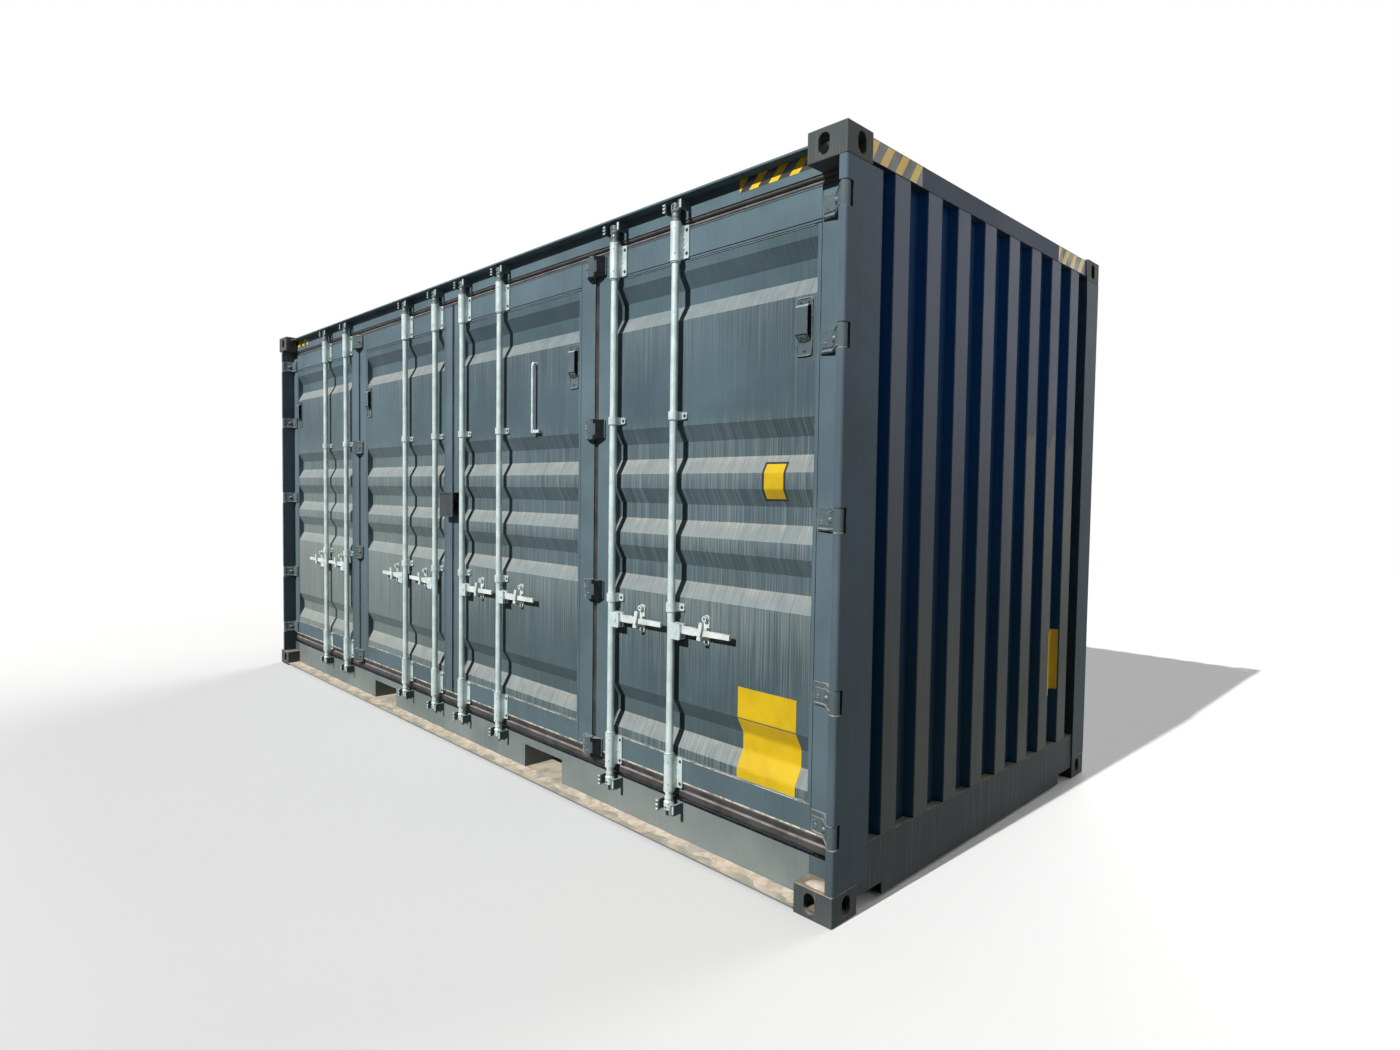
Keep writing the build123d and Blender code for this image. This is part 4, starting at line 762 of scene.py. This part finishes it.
def on_blade(share, height, side, lift):
    """Point on a fold hinge's slanting blade, lifted off it."""
    out = np.interp(share, [0, 1], [0.075, 0.022]) - lift * 0.5
    deep = np.interp(share, [0, 1], [-0.007, -0.042]) - lift * 0.85
    return track(side * out, deep, height)


def blade_trim(side):
    """C-shaped rim, pressed ring and domed bolt of one blade."""
    corner = np.linspace(0, np.pi / 2, 7)
    share = np.concatenate([[1.0, 0.7], 0.36 - 0.28 * np.sin(corner), 0.36 - 0.28 * np.cos(corner), [0.7, 1.0]])
    height = np.concatenate([[0.044, 0.044], 0.026 + 0.018 * np.cos(corner), -0.026 - 0.018 * np.sin(corner),
                             [-0.044, -0.044]])
    turn = np.linspace(0.35, 2 * np.pi - 0.35, 21)
    ring = on_blade(0.48 + 0.30 * np.cos(turn), 0.020 * np.sin(turn), side, 0.0005)
    points, faces = rivet
    bolt = (points * [0.8, 1.0, 0.8] + [side * 0.050, -0.0245, 0.0], faces)
    return joined([bead(on_blade(share, height, side, 0.001), 0.0042), bead(ring, 0.0024), bolt])


rims, painted_blade_shade = [], []
share, height = np.meshgrid(np.linspace(0.06, 0.97, 12), np.linspace(-0.047, 0.047, 16))
sheet_faces = grid_faces(16, 12)
for seam, inner in ((-1.483, 1), (1.483, -1)):
    spots = [(seam, face_y, middle) for middle in fold_heights]
    rims.append(copies(blade_trim(inner), spots))
    sheet = on_blade(share, height, -inner, 0.0012)
    # A dark sheet of painted shade over the outer blade.
    painted_blade_shade.append(copies((sheet, sheet_faces if inner > 0 else sheet_faces[:, ::-1]), spots))
# The rims take the pale paint: wear and a painted highlight.
put_piece("fold_hinge_rims", *joined(rims), worn_and_lit_paint)

# %% [markdown]
# Thin joints run beside every pressed sheet, where the door frame's hollow bars meet.
# A dark ribbon draws a joint, or painted shadow in the gap under the lower seal, and a pale one the dust
# that dries along an edge. Ribbons are flat strips of points, half a millimetre in front of the steel.

# %% Joint lines and dusty edges
def across_line(x_low, x_high, z, width):
    """Level ribbon on the door frames, facing the doors' side."""
    return ribbon(track(np.linspace(x_low, x_high, 40), face_y - stand_off, z), width, (0, 0, 1))


def upright_line(x, z_low, z_high, width):
    """Upright ribbon on the door frames, facing the doors' side."""
    return ribbon(track(x, face_y - stand_off, np.linspace(z_low, z_high, 60)), width, (-1, 0, 0))


# One dark finish serves the joints and the sheets of painted shade.
dark_joints_and_shade = cloudy("joint_shadow", 30.0, (10, 13, 16), (30, 35, 38), (0.8, 0.9), 0.1,
                    (200.0, 0.2, 0.0005))
dry_dust = cloudy("dried_dust", 28.0, (128, 134, 130), (212, 204, 184), (0.85, 0.95), 0.1,
                  (300.0, 0.4, 0.001), Low=0.40, High=0.58)
joint_out, dust_out, doors_end = 0.018, 0.010, 2.938
joint_low, joint_high, head_joints = 0.300, 2.730, (2.6005, 2.6125)
dark_lines, dusty_lines = [], []
for low, high in panel_edges:
    dark_lines += [upright_line(edge, joint_low, joint_high, 0.0026) for edge in (low - joint_out, high + joint_out)]
    dark_lines += [across_line(low - joint_out, high + joint_out, z, 0.0040) for z in head_joints]
    dusty_lines.append(across_line(low - dust_out, high + dust_out, 0.3865, 0.0040))
dusty_lines.append(across_line(-doors_end, doors_end, 0.2800, 0.0070))
# The wide line at 0.198 is painted shadow under the lower seal.
dark_lines += [across_line(-doors_end, doors_end, z, width) for z, width in ((2.7325, 0.0024), (0.1980, 0.0120))]
put_piece("joint_lines", *joined(dark_lines), dark_joints_and_shade, closed=False)
# Sheets of painted shade on the fold hinges' outer blades.
put_piece("fold_hinge_painted_shade", *joined(painted_blade_shade), dark_joints_and_shade, closed=False)
put_piece("dusty_edges", *joined(dusty_lines), dry_dust, closed=False)

# %% [markdown]
# The vents are small hoods on plates. Each plate has a rolled rim and three screws,
# and a wire mesh closes the hood's slanting foot so that rain stays out and air gets in.
# The rim is a circle whose cosine and sine are pressed towards a square by a small power.

# %% Vent rims, screws and mesh
def pressed(wave, power):
    """A cosine or sine raised to a power without losing its sign."""
    return np.sign(wave) * np.abs(wave) ** power


def on_foot(across, share):
    """Point on the hood's slanting foot, share 0 at its front and 1 at the plate."""
    return track(across, -0.0235 + 0.019 * share, 2.1835 - 0.0215 * share)


vent_x = (-2.784, -1.295, 1.295, 2.784)
vent_spots = [(x, face_y, 0) for x in vent_x]
vent_middle, vent_half_width, vent_half_height = 2.219, 0.0355, 0.109
wire, wire_sides = 0.0011, 4
turn = np.linspace(0, 2 * np.pi, 73)
rim = bead(track(vent_half_width * pressed(np.cos(turn), 0.25), -0.0036,
                 vent_middle + vent_half_height * pressed(np.sin(turn), 0.12)), 0.0024, 6)
put_piece("vent_rims", *copies(rim, vent_spots), hinge_paint)
screw = turned([(0.0, -0.001), (0.0050, -0.001), (0.0050, 0.0008), (0.0034, 0.0022), (0.0, 0.0024)], 10)
spots = [(x + shift, face_y - 0.0040, z) for x in vent_x for shift, z in ((-0.019, 2.313), (0.019, 2.313), (0, 2.128))]
put_piece("vent_screws", *copies(screw, spots), bolt_steel)
steps = np.linspace(0, 1, 12)
wires = [bead(on_foot(0.041 * (steps - 0.5), share), wire, wire_sides) for share in np.linspace(0.05, 0.95, 6)]
wires += [bead(on_foot(shift, steps), wire, wire_sides) for shift in np.linspace(-0.0195, 0.0195, 9)]
put_piece("vent_mesh", *copies(joined(wires), vent_spots), hinge_paint)
# Dark sheets of painted shade on the hoods' right sides.
hood_side = (track(0.0299, [-0.0045, -0.0255, -0.0255, -0.0045], [2.2980, 2.2910, 2.1900, 2.1660]),
             np.array([[0, 1, 2, 3]]))
put_piece("vent_shaded_sides", *copies(hood_side, vent_spots), dark_joints_and_shade, closed=False)

# %% [markdown]
# Yellow stickers on the doors and the end wall are left bare. They are thin sheets pressed
# over the grooves, so a sheet's grid takes its depth from the same groove line.
# A grid runs from the left to the right edge and from the foot to the top, and both edges may lean.

# %% Sticker foil
def faded_streaks(tree, colour):
    """Paler streaks down the foil."""
    lines = use(tree, streaks, Across=90.0, Along=3.0, Cover=0.6)
    return lay(tree, colour, (196, 160, 60), 0.25, lines)


def dark_rim(tree, colour):
    """A dark line near the edges of the sheet's own UV map, as wide upright as across."""
    where = axes_of(tree, "UV")
    side = [calc(tree, "ABSOLUTE", calc(tree, "SUBTRACT", where[axis], 0.5)) for axis in ("X", "Y")]
    outer = calc(tree, "MAXIMUM", side[0], calc(tree, "MULTIPLY_ADD", side[1], 1.6, -0.3))
    return tint(tree, ease(tree, outer, 0.405, 0.42), faded_streaks(tree, colour), (22, 22, 22))


plain_sticker, rimmed_sticker = (
    cloudy(name, 6.0, (190, 156, 4), (208, 174, 10), (0.4, 0.6), 0.4, (60.0, 0.2, 0.0008), marks)
    for name, marks in (("plain_sticker", faded_streaks), ("rimmed_sticker", dark_rim)))

# %% Stickers
foil_lift = 0.0006


def put_sticker(name, finish, corners, depth_at, count=40):
    """Sheet between four (along, height) corners, foil_lift in front of the wall's own depth."""
    across, up = np.meshgrid(np.linspace(0, 1, count), np.linspace(0, 1, count))
    shares = np.stack([(1 - up) * (1 - across), (1 - up) * across, up * (1 - across), up * across], axis=-1)
    along, height = np.moveaxis(shares @ np.array(corners), -1, 0)
    piece = put_piece(name, depth_at(along, height, foil_lift), grid_faces(count, count), finish, closed=False)
    corner_points = np.zeros(len(piece.data.loops), int)
    piece.data.loops.foreach_get("vertex_index", corner_points)
    sheet = np.stack([across, up], axis=-1).reshape(-1, 2)
    piece.data.uv_layers.new(name="sticker_map").uv.foreach_set("vector", sheet[corner_points].ravel())


def on_door(along, height, lift):
    """Point on the pressed door sheet."""
    return track(along, groove_line(height) - lift, height)


def on_end(along, height, lift):
    """Point on the corrugated end; its depth is straight between the last ribs' corner points."""
    edges, depths = [0.5985, 0.7065, 0.7245, 0.8285, 0.8465, 0.9545], [0.0, 0.0, 0.040, 0.040, 0.0, 0.0]
    return track(end_face_x - np.interp(along, edges, depths) + lift, along, height)


put_sticker("small_sticker", rimmed_sticker,
            ((2.578, 1.552), (2.699, 1.552), (2.578, 1.709), (2.699, 1.709)), on_door)
put_sticker("large_sticker", plain_sticker,
            ((2.466, 0.392), (2.775, 0.394), (2.466, 0.776), (2.775, 0.776)), on_door)
put_sticker("end_sticker", plain_sticker, ((0.694, 0.530), (0.843, 0.544), (0.694, 0.872), (0.843, 0.868)), on_end)

# %% [markdown]
# Hazard stripes mark the top rails, because a high-cube box is taller than most.
# Each run is a dark band with leaning four-sided sheets on it, cut off at the band's ends.
# A run is given by its start, its length and how far its first stripe begins from the start.

# %% Hazard stripes
stripe_pitch, stripe_width, stripe_lean = 0.104, 0.048, 0.053
front_levels, end_levels = (2.8104, 2.8636), (2.801, 2.879)
band_lift, stripe_lift = 0.0003, 0.0006
end_rail_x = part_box("right_top_rail")[1][0]


def worn_tape(tree, colour):
    """Spots where the tape has worn through."""
    return lay(tree, colour, (70, 66, 58), 0.5, use(tree, rust_spots, Scale=30.0, Cover=0.66))


def stripe_run(starts, width, lean, levels, limits, to_wall, lift):
    """Leaning quads from a row of start places, cut off at both limits."""
    starts = np.asarray(starts, float)
    plan = np.clip(np.stack([starts, starts + width, starts + width + lean, starts + lean], axis=1), *limits)
    height = np.broadcast_to(np.repeat(levels, 2), plan.shape)
    return to_wall(plan, height, lift), np.arange(plan.size).reshape(-1, 4)


def on_top_rail(along, height, lift):
    """Point on the front top rail's web."""
    return track(along, face_y - lift, height)


def on_end_rail(along, height, lift):
    """Point on the top rail of the closed end; its length runs in Y."""
    return track(end_rail_x + lift, along, height)


stripe_yellow, stripe_black = (
    cloudy(name, 9.0, low, high, (0.35, 0.55), 0.5, (90.0, 0.2, 0.0006), worn_tape)
    for name, low, high in (("stripe_yellow", (232, 188, 4), (246, 206, 14)),
                            ("stripe_black", (24, 25, 26), (40, 41, 42))))
bands, stripes = [], []
for start, length, lead, levels, to_wall in ((2.432, 0.412, -0.053, front_levels, on_top_rail),
                                             (-2.946, 0.354, 0.0, front_levels, on_top_rail),
                                             (-1.050, 0.351, -0.057, end_levels, on_end_rail),
                                             (0.665, 0.362, -0.057, end_levels, on_end_rail)):
    limits = (start, start + length)
    bands.append(stripe_run([start], length, 0.0, levels, limits, to_wall, band_lift))
    stripes.append(stripe_run(start + lead + stripe_pitch * np.arange(4), stripe_width, stripe_lean, levels, limits,
                              to_wall, stripe_lift))
put_piece("hazard_bands", *joined(bands), stripe_black, closed=False)
put_piece("hazard_stripes", *joined(stripes), stripe_yellow, closed=False)

# %% [markdown]
# Sand has blown onto the bottom flange and the near casting. A drift is a height field:
# a sum of sines with fixed random directions, shaped so that it thins out towards its rims.

# %% Sand
dice = np.random.default_rng(7)
sunk = -0.0008


def ripples(along, over, longest, waves=12):
    """Sum of sine waves with random headings, lengths down to a tenth of the longest, from -1 to 1."""
    heading = dice.uniform(0, np.pi, waves)
    length = longest * dice.uniform(0.1, 1.0, waves)
    phase = dice.uniform(0, 2 * np.pi, waves)
    turn = 2 * np.pi * (along[..., None] * np.cos(heading) + over[..., None] * np.sin(heading)) / length + phase
    return (np.sin(turn) * length).sum(-1) / length.sum() * 2


def drift(x_ends, y_ends, base_z, crest, shape, rows=24, columns=400):
    """Height field over a rectangle, crest times shape(u, v) plus ripples, sunk just under the steel at its rims."""
    u, v = np.meshgrid(np.linspace(0, 1, columns), np.linspace(0, 1, rows))
    (x_low, x_high), (y_low, y_high) = x_ends, y_ends
    x, y = x_low + (x_high - x_low) * u, y_low + (y_high - y_low) * v
    height = crest * (shape(u, v) + 0.35 * ripples(x, y, 0.25))
    at_rim = np.minimum(u, 1 - u) * np.minimum(v, 1 - v) <= 0
    return track(x, y, base_z + np.where(at_rim, sunk, np.maximum(height, sunk))), grid_faces(rows, columns)


def sand_marks(tree, colour):
    """Thin patches, pebbles and a darker outer edge."""
    thin = use(tree, clouds, Scale=6.0, Low=0.52, High=0.60)
    colour = lay(tree, colour, (168, 166, 158), 0.6, thin)
    colour = lay(tree, colour, (110, 96, 80), 0.6, use(tree, rust_spots, Scale=160.0, Cover=0.62))
    return lay(tree, colour, (122, 98, 74), 0.7, ease(tree, axes_of(tree)["Y"], -1.206, -1.213))


sand = cloudy("sand", 25.0, (198, 184, 164), (230, 216, 196), (0.85, 0.95), 0.2, (420.0, 0.6, 0.002),
              sand_marks)
rail_low, rail_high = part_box("front_bottom_rail")
outer_y = cad_low[1] + 0.004
flange_drift = drift((rail_low[0] + 0.002, rail_high[0] - 0.002), (outer_y, face_y), 0.020, 0.005,
                     lambda u, v: v ** 1.5 * 1.1 - 0.25)
casting_drift = drift((2.870, 3.005), (outer_y, cad_low[1] + 0.090), 0.118, 0.006,
                      lambda u, v: np.sin(np.pi * u) * np.sin(np.pi * v) * 1.3 - 0.3, 20, 40)
put_piece("sand_drifts", *joined([flange_drift, casting_drift]), sand, closed=False)

# %% [markdown]
# The studio is a wide pale floor that fades to the white world far away, and a soft sky.
# Rays that the camera sees find both of them bright. Rays that carry light from surface to surface
# find them dark, so that shadows stay as deep as in the photograph's hard sun.

# %% Studio floor and sky
def seen_rays(tree):
    """1 for rays that show a thing to the camera, straight or by a mirror or glass, and 0 for all others."""
    rays = add_node(tree, "LightPath").outputs
    straight = calc(tree, "MAXIMUM", rays["Is Camera Ray"], rays["Is Glossy Ray"])
    return calc(tree, "MAXIMUM", straight, rays["Is Transmission Ray"])


turn = np.linspace(0, 2 * np.pi, 96, endpoint=False)
radius = np.array([0.0, 3, 6, 10, 16, 26, 44, 70])[:, None]
disc = track(radius * np.cos(turn), radius * np.sin(turn), -0.0005)
floor_mesh = bpy.data.meshes.new("studio_floor")
floor_mesh.from_pydata(disc.reshape(-1, 3).tolist(), [], grid_faces(8, 96, True)[:, ::-1].tolist())
studio_floor = bpy.data.objects.new("studio_floor", floor_mesh)
bpy.context.scene.collection.objects.link(studio_floor)
floor_finish, tree, shader = start_material("studio_floor", specular=0.1, roughness=0.9)
point = add_node(tree, "TexCoord").outputs["Object"]
far = add_node(tree, "VectorMath", {0: point}, operation="LENGTH").outputs["Value"]
seen = seen_rays(tree)
feed(tree, shader.inputs["Base Color"], tint(tree, seen, (0.05, 0.05, 0.048, 1), (0.82, 0.82, 0.81, 1)))
glow = add_node(tree, "Emission", {"Color": (1, 1, 1, 1), "Strength": 1.0}).outputs[0]
fade = times(tree, ease(tree, far, 7.0, 22.0), seen)
mixed = add_node(tree, "MixShader", {0: fade, 1: shader.outputs[0], 2: glow}).outputs[0]
feed(tree, tree.nodes["Material Output"].inputs["Surface"], mixed)
floor_mesh.materials.append(floor_finish)

world = bpy.data.worlds.new("studio_sky")
bpy.context.scene.world = world
world.use_nodes = True
sky = world.node_tree.nodes["Background"].inputs
sky["Color"].default_value = (1, 1, 1, 1)
feed(world.node_tree, sky["Strength"], between(world.node_tree, seen_rays(world.node_tree), 0.012, 1.0))
print("floor out to", radius.max(), "m")

# %% [markdown]
# One sun stands where the photograph's shadows say, high in front of the doors.
# A very soft one lights the closed end as the sky does, and another keeps the back readable.

# %% Lamps
def put_sun(name, travel, energy, spread):
    """Sun lamp whose light travels along a direction; the spread softens its shadows."""
    lamp = bpy.data.lights.new(name, "SUN")
    lamp.energy = energy
    lamp.angle = spread
    sun = bpy.data.objects.new(name, lamp)
    sun.rotation_euler = Vector(travel).to_track_quat("-Z", "Y").to_euler()
    bpy.context.scene.collection.objects.link(sun)


put_sun("door_side_sun", (0.03, 1.0, -0.70), 4.3, 0.010)
put_sun("end_side_fill", (-1.0, -0.30, -0.35), 0.86, 1.2)
put_sun("back_side_fill", (0.1, -1.0, -0.6), 2.2, 1.0)
bpy.context.scene.view_settings.view_transform = "Standard"
print("lamps", len(bpy.data.lights))
